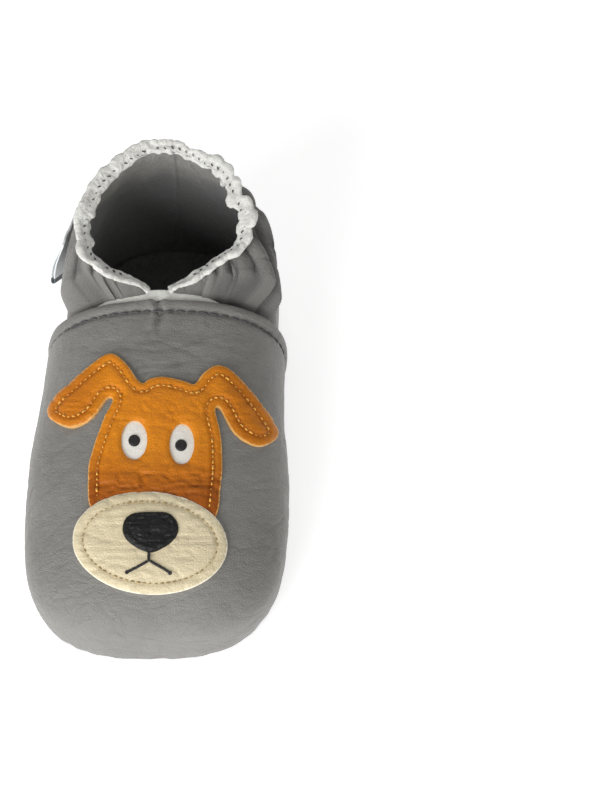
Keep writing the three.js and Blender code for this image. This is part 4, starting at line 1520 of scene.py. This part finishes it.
class PuppyFace:
    """Head, eyes, muzzle, nose and mouth, cut from leather and sewn onto the toe piece.

    Attributes:
        form: the bootie's form.
    """

    HEAD = [
        (-3.9, 17.2), (-7.6, 22), (-11.2, 24.6), (-15, 23), (-21.5, 17.5), (-26.6, 12.4),
        (-27, 8.4), (-21.5, 5.9), (-16, 8.2), (-12.2, 13.2), (-10.9, 12.6), (-12.8, 8.4),
        (-15.3, 1.1), (-16.6, -6), (-14.5, -16), (0, -19), (14, -18), (16.6, -9), (16.8, 0),
        (16.2, 5), (15, 10.2), (16.4, 10.4), (20.2, 4.1), (26.2, 1), (30.6, 4.4), (25.8, 12.6),
        (19.4, 19.8), (15.4, 21.6), (12, 19.6), (9.8, 16.8), (7, 17.6), (2.1, 18.7), (-1.4, 18.2)]
    MUZZLE = Oval(-0.9, -23.1, 19.3, 12.5, -4)
    EYES = (Oval(-5.2, 2.6, 3.3, 4.9), Oval(6.8, 1.6, 3.1, 5.1))
    PUPILS = (Oval(-5.2, 2.6, 1.5, 1.5), Oval(6.6, 1.4, 1.5, 1.5))
    NOSE = [
        (-4.9, -16.2), (-0.8, -15.9), (3.2, -16.1), (5.4, -17.6), (6.2, -20.0), (5.2, -22.4),
        (2.4, -24.6), (-0.8, -25.6), (-4.0, -24.5), (-6.7, -22.4), (-7.6, -20.0), (-6.9, -17.6)]
    MOUTH = (
        [(-1.0, -24.9), (-1.1, -26.5), (-1.0, -27.9)],
        [(-1.0, -27.5), (-2.9, -28.6), (-4.9, -29.6), (-6.9, -30.6)],
        [(-1.0, -27.5), (0.7, -28.5), (2.6, -29.5), (4.6, -30.8)])
    HEAD_THICK = 1.05
    MUZZLE_THICK = 1.15
    STITCH_INSET = 2.35
    MUZZLE_INSET = 2.65
    PITCH = 1.5
    CLEAR_OF_EDGE = 0.55
    EYE_TUCK = 1.3
    CORD = 0.42
    STRAND = 0.36
    STRAND_AROUND = 12
    HEAD_STITCH = Stitch(Finishes.GOLD_THREAD, 0.56, 0.19, 0.34, 4, 0.5)
    MUZZLE_STITCH = Stitch(Finishes.TAN_THREAD, 0.62, 0.13, 0.26, 6, 0.35)

    def __init__(self, form: Form) -> None:
        self.form = form

    def _patch(self, loop: Array, holes: Sequence[Array], spacing: float) -> tuple[Array, Array]:
        """Triangles filling a loop with holes, from even points."""
        low, high = loop.min(0), loop.max(0)
        xs, ys = np.meshgrid(np.arange(low[0], high[0], spacing), np.arange(low[1], high[1], spacing * 0.87))
        xs = xs + (np.arange(xs.shape[0]) % 2)[:, None] * spacing / 2
        inner = np.stack([xs.ravel(), ys.ravel()], -1)
        keep = inside_loop(inner, loop)
        for hole in holes:
            keep &= ~inside_loop(inner, hole)
        for rim in (loop, *holes):
            keep &= loop_distance(inner, rim)[0] > spacing * self.CLEAR_OF_EDGE
        inner = inner[keep]
        rims = [loop, *holes]
        points = np.vstack([*rims, inner])
        edges, start = [], 0
        for rim in rims:
            edges += [(start + i, start + (i + 1) % len(rim)) for i in range(len(rim))]
            start += len(rim)
        verts, _, faces, *_ = delaunay_2d_cdt([Vector(p) for p in points], edges, [], 0, 1e-6)
        verts = np.array([tuple(v) for v in verts])
        faces = np.array(faces)
        middle = verts[faces].mean(axis=1)
        good = inside_loop(middle, loop)
        for hole in holes:
            good &= ~inside_loop(middle, hole)
        return verts, faces[good]

    def _build_patch(
        self, name: str, loop: Array, height: Callable[[Array, Array], Array], finishes: Sequence[Finish],
        shade: Callable[[Array, Array], Array] | None = None, holes: Sequence[Array] = (),
        spacing: float = 0.55,
    ) -> bpy.types.Object:
        """A sewn-on shape: its face, shaped by height, and walls down to the toe piece round every edge.

        Args:
            name: the piece's name.
            loop, holes: outlines in the face's plane.
            height: maps (points, distance from the nearest edge) to the offset above the toe piece.
            finishes: the face's finish, then the cut edge's.
            shade: maps the same to the "shade" attribute, which holds painted shade and is 0 without it.
            spacing: the mesh's spacing.
        Returns:
            The patch's object.
        """
        verts, faces = self._patch(loop, holes, spacing)
        away = loop_distance(verts, loop)[0]
        for hole in holes:
            away = np.minimum(away, loop_distance(verts, hole)[0])
        ground, normal = self._ground(verts)
        top = ground + normal * height(verts, away)[:, None]
        a, b, c = (top[faces[:, k]] for k in range(3))
        if np.sum(np.cross(b - a, c - a) * normal[faces[:, 0]]) < 0:
            faces = faces[:, ::-1]
        pairs = np.vstack([faces[:, [0, 1]], faces[:, [1, 2]], faces[:, [2, 0]]])
        known = {tuple(pair) for pair in pairs.tolist()}
        rim = [pair for pair in pairs.tolist() if (pair[1], pair[0]) not in known]
        feet = sorted({i for pair in rim for i in pair})
        place = {v: i for i, v in enumerate(feet)}
        count = len(verts)
        low = top[feet] * 0.5 + ground[feet] * 0.5 + 0.02
        bottom = ground[feet] - normal[feet] * 0.35
        points = np.vstack([top, top[feet], low, bottom])
        walls, size = [], len(feet)
        for i, j in rim:
            for level in (0, 1):
                first, second = count + level * size, count + (level + 1) * size
                walls.append([first + place[j], first + place[i], second + place[i], second + place[j]])
        joined = faces.tolist() + walls
        kinds = [0] * len(faces) + [1] * len(walls)
        tint = shade(verts, away) if shade else np.zeros(count)
        shades = np.concatenate([tint, np.zeros(3 * size)])
        outer = (loop_distance(verts, loop)[0] < 0.05).astype(float)
        cut = np.concatenate([outer, np.tile(outer[feet], 3)])
        return new_object(
            name, points, joined, [f.build() for f in finishes], face_material=kinds,
            attributes={"shade": shades, "cut": cut})

    def _ground(self, plane: Array) -> tuple[Array, Array]:
        """Points and normals of the toe piece's face under points of the plane."""
        u, w = plane[:, 0], plane[:, 1]
        return self.form.on_face(u, w, LAYER.vamp), self.form.face_normal(u, w, LAYER.vamp)

    @staticmethod
    def _soft(away: Array, thick: float, puff: float, reach: float, edge: float = 0.4) -> Array:
        """A rounded edge that swells inwards."""
        near = np.clip(away / edge, 0, 1)
        rounded = np.sqrt(np.maximum(0, 1 - (1 - near) ** 2))
        return thick * (0.80 + 0.20 * rounded) + puff * (1 - np.exp(-away / reach))

    def _stitch_row(self, line: Array, offset: Array | float) -> tuple[Array, Array, Array]:
        """Stitch places along a closed plane line, that far above the toe piece."""
        lift = np.broadcast_to(offset, len(line))[:, None]
        ground, normal = self._ground(line)
        return Stitches.spaced(ground + normal * lift, normal, self.PITCH, closed=True)

    def head_loop(self) -> Array:
        """The head's outline, anticlockwise."""
        return anticlockwise(even_line(smooth_line(self.HEAD, 700, closed=True), 0.5, closed=True))

    @staticmethod
    def inset(loop: Array, inset: float) -> Array:
        """An anticlockwise loop moved inwards, without its overrun points."""
        along = tangents(loop, closed=True, reach=2)
        moved = loop + np.stack([-along[:, 1], along[:, 0]], -1) * inset
        return moved[loop_distance(moved, loop)[0] > inset * 0.93]

    def _head_height(self, verts: Array, away: Array, outer: Array) -> Array:
        """The head's skin above the toe piece: padded, sewn down along its stitches and wrinkled."""
        height = self._soft(away, self.HEAD_THICK, 0.62, 2.8)
        height -= 0.46 * bump(outer, self.STITCH_INSET, 0.62)
        spot = spots(verts)
        wrinkle = Noise(101).creases(spot, (7.0, 1.7, 1.0)) + 0.7 * Noise(103).creases(spot, (3.4, 1.5, 1.0))
        region = 0.25 + 1.3 * bump(verts[:, 1], -8.5, 4.2) + 0.5 * bump(verts[:, 1], 10.0, 4.0)
        height -= 0.52 * wrinkle * region
        height += 0.24 * Noise(102).layers(spot, 5.0, 4)
        neck = bump(verts[:, 0], -11.5, 1.6) + bump(verts[:, 0], 14.0, 1.6)
        height -= 0.30 * neck * bump(verts[:, 1], 15.0, 3.5)
        eyes = sum(bump(np.hypot((verts[:, 0] - e.x) / e.wide, (verts[:, 1] - e.y) / e.high), 1.35, 0.3)
                   for e in self.EYES)
        return height + 0.16 * eyes

    def _build_head(self) -> None:
        """The head's leather and its stitches, cut away under the muzzle."""
        loop = self.head_loop()
        cover = self.MUZZLE.loop(1.6)
        kept = loop[~inside_loop(loop, cover)]
        start = int(np.argmax(np.linalg.norm(np.roll(kept, -1, axis=0) - kept, axis=1)))
        kept = np.roll(kept, -(start + 1), axis=0)
        first, last = (int(np.argmin(np.linalg.norm(cover - kept[k], axis=1))) for k in (-1, 0))
        count = len(cover)

        def arc(step: int) -> Array:
            """The cover's points from the kept line's end to its start, going round by step."""
            return cover[(first + step * np.arange((last - first) * step % count)) % count]

        step = -1 if (first - last) % count < (last - first) % count else 1
        bottom = arc(step)
        if bottom[:, 1].mean() < self.MUZZLE.y:
            bottom = arc(-step)
        shape = np.vstack([kept, bottom[2:-2]])
        holes = [eye.loop(0, 0.4)[::-1] for eye in self.EYES]

        def height(verts: Array, away: Array) -> Array:
            """The skin's height."""
            return self._head_height(verts, away, loop_distance(verts, loop)[0])

        def shade(verts: Array, _: Array) -> Array:
            """Painted shade: darker along the stitches' groove, over the lower half and on the ears."""
            outer = loop_distance(verts, loop)[0]
            low = 0.95 * ease(-verts[:, 1], -1, 13)
            ears = 0.30 * ease(np.abs(verts[:, 0] - 0.5), 13, 19)
            return np.clip(0.45 * bump(outer, self.STITCH_INSET, 0.5) + low + ears, 0, 1)

        made = self._build_patch(
            "head_leather", shape, height, [Finishes.ORANGE, Finishes.ORANGE_EDGE], shade, holes)
        finish_piece(made, Body.UPPER, Slot.ORANGE, "head_patch", fill=0.35)
        row = even_line(self.inset(loop, self.STITCH_INSET), 0.3, closed=True)
        places, along, up = self._stitch_row(row, self.HEAD_THICK + 0.12)
        form = self.form
        plane = np.stack([places[:, 0] - form.shift, places @ form.up - form.centre_y * form.up[1]], -1)
        seen = ~inside_loop(plane, self.MUZZLE.loop(-0.6))
        made = Stitches.sew("head_stitches", places[seen], along[seen], up[seen], self.HEAD_STITCH)
        finish_piece(made, Body.UPPER, Slot.GOLD_THREAD, "head_thread")

    def _build_eyes(self) -> None:
        """The eyes' white leather and the embroidered pupils."""
        nodes = (("eye_patch_left", "pupil_left"), ("eye_patch_right", "pupil_right"))
        for eye, pupil, (patch_node, pupil_node) in zip(self.EYES, self.PUPILS, nodes):
            middle = np.array([eye.x, eye.y])
            size = np.array([eye.wide, eye.high])

            def height(verts: Array, _: Array) -> Array:
                """A low dome, dented by hand."""
                dome = np.clip(1 - (((verts - middle) / size) ** 2).sum(1), -0.5, 1)
                return 0.34 + 0.20 * dome + 0.04 * Noise(111)(spots(verts), 1.4)

            made = self._build_patch(
                patch_node.replace("patch", "white"), eye.loop(-self.EYE_TUCK), height,
                [Finishes.WHITE, Finishes.WHITE], spacing=0.4)
            finish_piece(made, Body.UPPER, Slot.WHITE, patch_node)

            centre = np.array([pupil.x, pupil.y])

            def button(verts: Array, _: Array) -> Array:
                """A raised button of thread with a hollow middle and radial stitches."""
                spoke = verts - centre
                turn = np.arctan2(spoke[:, 1], spoke[:, 0])
                far = np.hypot(spoke[:, 0], spoke[:, 1]) / pupil.wide
                dome = 0.55 * np.sqrt(np.maximum(0, 1 - far ** 2.4)) - 0.22 * bump(far, 0, 0.3)
                return 0.55 + dome + 0.05 * np.sin(turn * 17) * far

            made = self._build_patch(
                pupil_node + "_embroidery", pupil.loop(0, 0.22), button,
                [Finishes.BLACK_THREAD, Finishes.BLACK_THREAD], spacing=0.2)
            finish_piece(made, Body.UPPER, Slot.BLACK_THREAD, pupil_node)

    def _muzzle_rise(self, verts: Array) -> Array:
        """The muzzle's slope up to the head, over which it is sewn."""
        return 0.75 * ease(verts[:, 1], self.MUZZLE.y + 1, self.MUZZLE.y + 9)

    def _muzzle_height(self, verts: Array, away: Array) -> Array:
        """The muzzle's skin above the toe piece."""
        height = self._soft(away, self.MUZZLE_THICK, 0.7, 3.0) + self._muzzle_rise(verts)
        height -= 0.34 * bump(away, self.MUZZLE_INSET, 0.5)
        spot = spots(verts)
        slant = np.column_stack([verts[:, 0] + verts[:, 1] * 0.3, verts[:, 1], verts[:, 0] * 0])
        height -= 0.34 * Noise(121).creases(slant, (6.0, 1.5, 1.0))
        height -= 0.16 * Noise(123).creases(spot, (2.6, 4.0, 1.0))
        return height + 0.14 * Noise(122).layers(spot, 5.0, 3)

    def _build_muzzle(self) -> None:
        """The muzzle's leather and its stitches."""

        def shade(_: Array, away: Array) -> Array:
            """Painted shade, darker along the stitches' groove."""
            return np.clip(0.5 * bump(away, self.MUZZLE_INSET, 0.45), 0, 1)

        made = self._build_patch(
            "muzzle_leather", self.MUZZLE.loop(), self._muzzle_height,
            [Finishes.CREAM, Finishes.CREAM_EDGE], shade)
        finish_piece(made, Body.UPPER, Slot.CREAM, "muzzle_patch", fill=0.4)
        row = self.MUZZLE.loop(self.MUZZLE_INSET, 0.3)
        places, along, up = self._stitch_row(row, self._muzzle_rise(row) + self.MUZZLE_THICK + 0.16)
        made = Stitches.sew("muzzle_stitches", places, along, up, self.MUZZLE_STITCH)
        finish_piece(made, Body.UPPER, Slot.TAN_THREAD, "muzzle_thread")

    def _muzzle_top(self, verts: Array) -> Array:
        """Height of the muzzle's skin where the nose and mouth sit."""
        away = loop_distance(verts, self.MUZZLE.loop())[0]
        return self._muzzle_height(verts, away)

    def _build_nose(self) -> None:
        """The padded nose with its corded border."""
        loop = anticlockwise(even_line(smooth_line(self.NOSE, 300, closed=True), 0.3, closed=True))
        length = np.linalg.norm(np.roll(loop, -1, axis=0) - loop, axis=1).sum()

        def height(verts: Array, away: Array) -> Array:
            """A border of cords round a panel that swells to its middle."""
            _, share = loop_distance(verts, loop)
            border = np.sqrt(np.clip(1 - ((away - 1.1) / 1.15) ** 2, 0, 1))
            cords = 0.05 * np.sin(share * length * 2 * math.pi / self.CORD) * (away < 1.9)
            panel = (0.82 + 0.55 * (1 - np.exp(-(away - 1.5) / 1.6))) * (away > 1.5)
            hollow = -0.25 * bump(verts[:, 0], 1.2, 2.4) * bump(verts[:, 1], -20.4, 1.3)
            soft = 0.10 * Noise(131)(spots(verts), 1.8)
            return self._muzzle_top(verts) * 0.94 + np.maximum(border, panel) + cords + hollow + soft

        made = self._build_patch(
            "nose_pad", loop, height, [Finishes.BLACK, Finishes.BLACK_THREAD], spacing=0.28)
        finish_piece(made, Body.UPPER, Slot.BLACK, "nose", fill=0.7)

    def _strand(self, plane: Array, radius: float) -> tuple[Array, Array]:
        """Points and faces of a thread laid along a plane line, thicker at its knotted end."""
        line = even_line(smooth_line(plane, 60), 0.12)
        ground, normal = self._ground(line)
        laid = ground + normal * (self._muzzle_top(line)[:, None] + radius * 0.55)

        def section(share: Array, angle: Array) -> tuple[Array, Array]:
            """A two-ply round, closed at both ends."""
            ends = np.sqrt(np.clip(1 - np.abs(2 * share - 1) ** 14, 0, 1))
            knot = 1 + 0.75 * bump(share, 0.95, 0.045)
            ply = 1 + 0.10 * np.cos(2 * (angle - share * len(line) * 0.5))
            size = radius * ends * knot * ply
            return size * np.cos(angle), size * np.sin(angle)

        grid = sweep(laid, section, normal, self.STRAND_AROUND)
        return grid.reshape(-1, 3), grid_faces(len(grid), self.STRAND_AROUND, wrap=True)

    def _build_mouth(self) -> None:
        """The mouth's three laid threads, as one piece."""
        points, faces, start = [], [], 0
        for stroke in self.MOUTH:
            made_points, made_faces = self._strand(np.array(stroke), self.STRAND)
            points.append(made_points)
            faces.append(made_faces + start)
            start += len(made_points)
        made = new_object(
            "mouth_stitching", np.vstack(points), np.vstack(faces), [Finishes.BLACK_THREAD.build()])
        finish_piece(made, Body.UPPER, Slot.BLACK_THREAD, "mouth_thread")

    def build(self) -> None:
        """Makes every piece of the face."""
        self._build_head()
        self._build_eyes()
        self._build_muzzle()
        self._build_nose()
        self._build_mouth()


# ---------------------------------------------------------------- seams


class Seams:
    """The stitch rows that hold the bootie together.

    Attributes:
        form, toe_piece, quarters, collar: what the rows run along.
    """

    def __init__(self, form: Form, toe_piece: ToePiece, quarters: Quarters, collar: Collar) -> None:
        self.form, self.toe_piece, self.quarters, self.collar = form, toe_piece, quarters, collar

    @staticmethod
    def _sew(name: str, node: str, places: Array, along: Array, up: Array, *stitch: float) -> None:
        """One row in the seams' thread, standing for a CAD node."""
        made = Stitches.sew(name, places, along, up, Stitch(Finishes.GREY_THREAD, *stitch))
        finish_piece(made, Body.UPPER, Slot.GREY_THREAD, node)

    def build(self) -> None:
        """Makes the four rows."""
        line, normal = self.toe_piece.edge_line(LAYER.vamp - 0.34, ToePiece.STITCH_SETBACK)
        above = line[:, 2] > 3.5
        row = Stitches.spaced(line[above], normal[above], 2.9)
        self._sew("toe_edge_stitches", "vamp_thread", *row, 2.25, 0.24, 0.42, 12)

        line, normal = self.collar.stitch_line()
        places, along, up = Stitches.spaced(line[40:-40], normal[40:-40], 1.9)
        drift = Noise(201)(places, 2.0)[:, None] * 0.5
        side = np.cross(along, up)
        self._sew(
            "collar_stitches", "collar_thread", places + side * drift, unit(along + 0.8 * side), up,
            0.62, 0.17, 0.26, 14, 0.3)

        spine = self.quarters.surface(0.0)[6:-6, self.quarters.seam_column()]
        outward = unit(np.cross(tangents(spine), self.form.across))
        outward *= np.sign(outward[:, 1])[:, None]
        row = Stitches.spaced(spine - outward * 0.45, outward, 2.6)
        self._sew("heel_stitches", "heel_thread", *row, 1.9, 0.22, 0.4, 16)

        outline = self.form.outline(LAYER.lining_inner - 0.6, 2.4, 700)
        line = np.column_stack([outline, np.full(len(outline), 2.15)])
        inward = np.column_stack([
            self.form.centre(line[:, 1]) - line[:, 0], 0.2 * (self.form.centre_y - line[:, 1]),
            np.full(len(line), 30.0)])
        row = Stitches.spaced(line, unit(inward), 3.0, closed=True)
        self._sew("sole_stitches", "sole_thread", *row, 2.2, 0.2, 0.2, 18)


# ---------------------------------------------------------------- the label


class SideLabel:
    """A folded ribbon that hangs from its sewn top edge, with a dark hem at its fold."""

    ROWS = 60
    COLUMNS = 26
    LENGTH = 18.6
    WIDTH = 11.0
    GAP = 0.42
    THICK = 0.28
    HEM = 2.2
    FOLD_STARTS = 0.47
    TILT = math.radians(13)
    CURL = math.radians(34)
    CURL_AT = -0.5
    CLEAR = 0.8
    REACH = 16
    NEAR = 1.6

    def __init__(self) -> None:
        self.joint = next(j for j in frame["joints"] if j["name"] == "label_swing")

    def _push(self, grid: Array, leather: Array) -> Array:
        """How far each point must move outwards for the ribbon to rest on the leather."""
        skin = leather.reshape(-1, 3)
        near = np.all(np.abs(skin - grid.reshape(-1, 3).mean(axis=0))[:, 1:] < self.REACH, axis=1)
        skin = skin[near & (skin[:, 0] < 0)]
        push = np.zeros(grid.shape[:2])
        for row, line in enumerate(grid):
            apart = np.hypot(line[:, None, 1] - skin[None, :, 1], line[:, None, 2] - skin[None, :, 2])
            limit = np.where(apart < self.NEAR, skin[None, :, 0], np.inf).min(axis=1) - self.CLEAR
            push[row] = np.maximum(0, line[:, 0] - limit)
        return push

    def build(self, leather: Array) -> None:
        """Makes the ribbon on the label's body, clear of the quarter's leather."""
        pivot = np.array(self.joint["pos_m"]) / MM
        axis = unit(np.array(self.joint["axis"], float))
        drop = unit(np.cross(np.cross(axis, -UP), axis))
        outward = unit(np.cross(drop, axis))
        outward *= np.sign(-outward[0])
        down = unit(drop * math.cos(self.TILT) + outward * math.sin(self.TILT))
        across = unit(np.cross(down, axis))
        across *= np.sign(-across[0])
        length, gap, half = self.LENGTH, self.GAP, self.FOLD_STARTS
        share = np.linspace(0, 1, self.ROWS)
        turn = np.clip((share - half) / (1 - 2 * half), 0, 1) * math.pi
        fall = np.where(share < half, share / half, np.where(share > 1 - half, (1 - share) / half, 1.0))
        distance = fall * (length - gap) + gap * np.sin(turn)
        out = gap * np.cos(turn) * np.minimum(1, 0.25 + fall * 1.2)
        side = np.linspace(-self.WIDTH / 2, self.WIDTH / 2, self.COLUMNS)
        wave = 0.45 * np.sin(distance / length * 2.6)[:, None]
        wave = wave + 0.16 * np.sin(side / 2.2)[None] * fall[:, None]
        curl = (self.CURL * ease(distance / length, -0.3, 0.9))[:, None, None]
        spread = side[None, :, None] - self.CURL_AT
        inward = distance[:, None, None] * 0.16
        grid = (pivot + down * distance[:, None, None]
                + across * (out[:, None, None] + wave[..., None] - spread * np.sin(curl) - inward)
                + axis * (self.CURL_AT + spread * np.cos(curl)))
        push = self._push(grid, leather)
        grid[..., 0] -= np.maximum(push, push[::-1])
        hem = np.repeat((distance[1:] + distance[:-1]) / 2 > length - self.HEM, self.COLUMNS - 1)
        made = new_object(
            "label_ribbon", grid, grid_faces(self.ROWS, self.COLUMNS),
            [Finishes.RIBBON.build(), Finishes.HEM.build()], face_material=hem)
        solid = made.modifiers.new("thickness", "SOLIDIFY")
        solid.thickness = self.THICK * MM
        solid.offset = 0.0
        bpy.context.view_layer.update()
        mesh = bpy.data.meshes.new_from_object(made.evaluated_get(bpy.context.evaluated_depsgraph_get()))
        made.modifiers.clear()
        made.data = mesh
        finish_piece(made, Body.LABEL, Slot.RIBBON, "side_label")


# ---------------------------------------------------------------- the studio


class Studio:
    """A plain pale floor, soft lights and the camera."""

    TARGET = Vector((0.0366, 0.0104, 0.0074))
    DISTANCE = 1.10
    ELEVATION = math.radians(55)
    LENS = 188.6
    SENSOR = 36
    NEAREST = 0.05
    WORLD = 0.28
    FLOOR = 3000.0
    BELOW = 0.05
    LIGHTS = (
        ("key", (-0.62, -0.96, 0.44), 1.0, 15.0),
        ("fill", (0.55, -0.75, 0.65), 0.9, 2.4),
        ("back", (0.0, 0.75, 0.85), 0.8, 1.5))

    def build(self) -> None:
        """Makes the floor, the lights and the camera."""
        scene = bpy.context.scene
        world = bpy.data.worlds.new("white studio")
        world.use_nodes = True
        Tree(world.node_tree).feed(
            world.node_tree.nodes["Background"], {"Color": (1.0, 1.0, 1.0, 1), "Strength": self.WORLD})
        scene.world = world
        scene.view_settings.view_transform = "Standard"
        self._floor()
        for light in self.LIGHTS:
            self._light(*light)
        data = bpy.data.cameras.new("camera")
        data.sensor_fit = "VERTICAL"
        data.sensor_height = self.SENSOR
        data.lens = self.LENS
        data.clip_start = self.NEAREST
        camera = bpy.data.objects.new("camera", data)
        scene.collection.objects.link(camera)
        back = Vector((0, -math.cos(self.ELEVATION), math.sin(self.ELEVATION)))
        camera.location = self.TARGET + back * self.DISTANCE
        camera.rotation_euler = (-back).to_track_quat("-Z", "Y").to_euler()
        scene.camera = camera

    def _floor(self) -> None:
        """A wide pale floor that gives a little light of its own."""
        material = bpy.data.materials.new("studio floor")
        material.use_nodes = True
        t = Tree(material.node_tree)
        tone = t.blend(t.noise(t.stretched(), 3.0, 2), (0.93, 0.93, 0.93, 1), (0.96, 0.96, 0.96, 1))
        t.feed(material.node_tree.nodes["Principled BSDF"], {
            "Base Color": tone, "Roughness": 0.9, "Specular IOR Level": 0.1,
            "Emission Color": (1, 1, 1, 1), "Emission Strength": 0.54})
        size, low = self.FLOOR, -self.BELOW
        points = np.array([(-size, -size, low), (size, -size, low), (size, size, low), (-size, size, low)])
        new_object("floor", points, [[0, 1, 2, 3]], [material])

    @staticmethod
    def _light(name: str, place: Triple, size: float, power: float) -> None:
        """A round soft light in metres and watts, turned to the origin."""
        data = bpy.data.lights.new(name, "AREA")
        data.shape = "DISK"
        data.size = size
        data.energy = power
        made = bpy.data.objects.new(name, data)
        bpy.context.scene.collection.objects.link(made)
        made.location = place
        made.rotation_euler = (-Vector(place)).to_track_quat("-Z", "Y").to_euler()


# ---------------------------------------------------------------- the whole bootie


def main() -> None:
    """Builds the bootie and its studio."""
    logging.basicConfig(level=logging.INFO, format="%(name)s: %(message)s")
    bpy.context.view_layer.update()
    form = Form()
    rim = Rim(form)
    toe_piece, quarters, collar = ToePiece(form), Quarters(form, rim), Collar(rim)
    Sole(form).build()
    toe_piece.build()
    quarters.build()
    collar.build()
    PuppyFace(form).build()
    Seams(form, toe_piece, quarters, collar).build()
    SideLabel().build(quarters.skin)
    Studio().build()


if __name__ == "__main__":
    main()
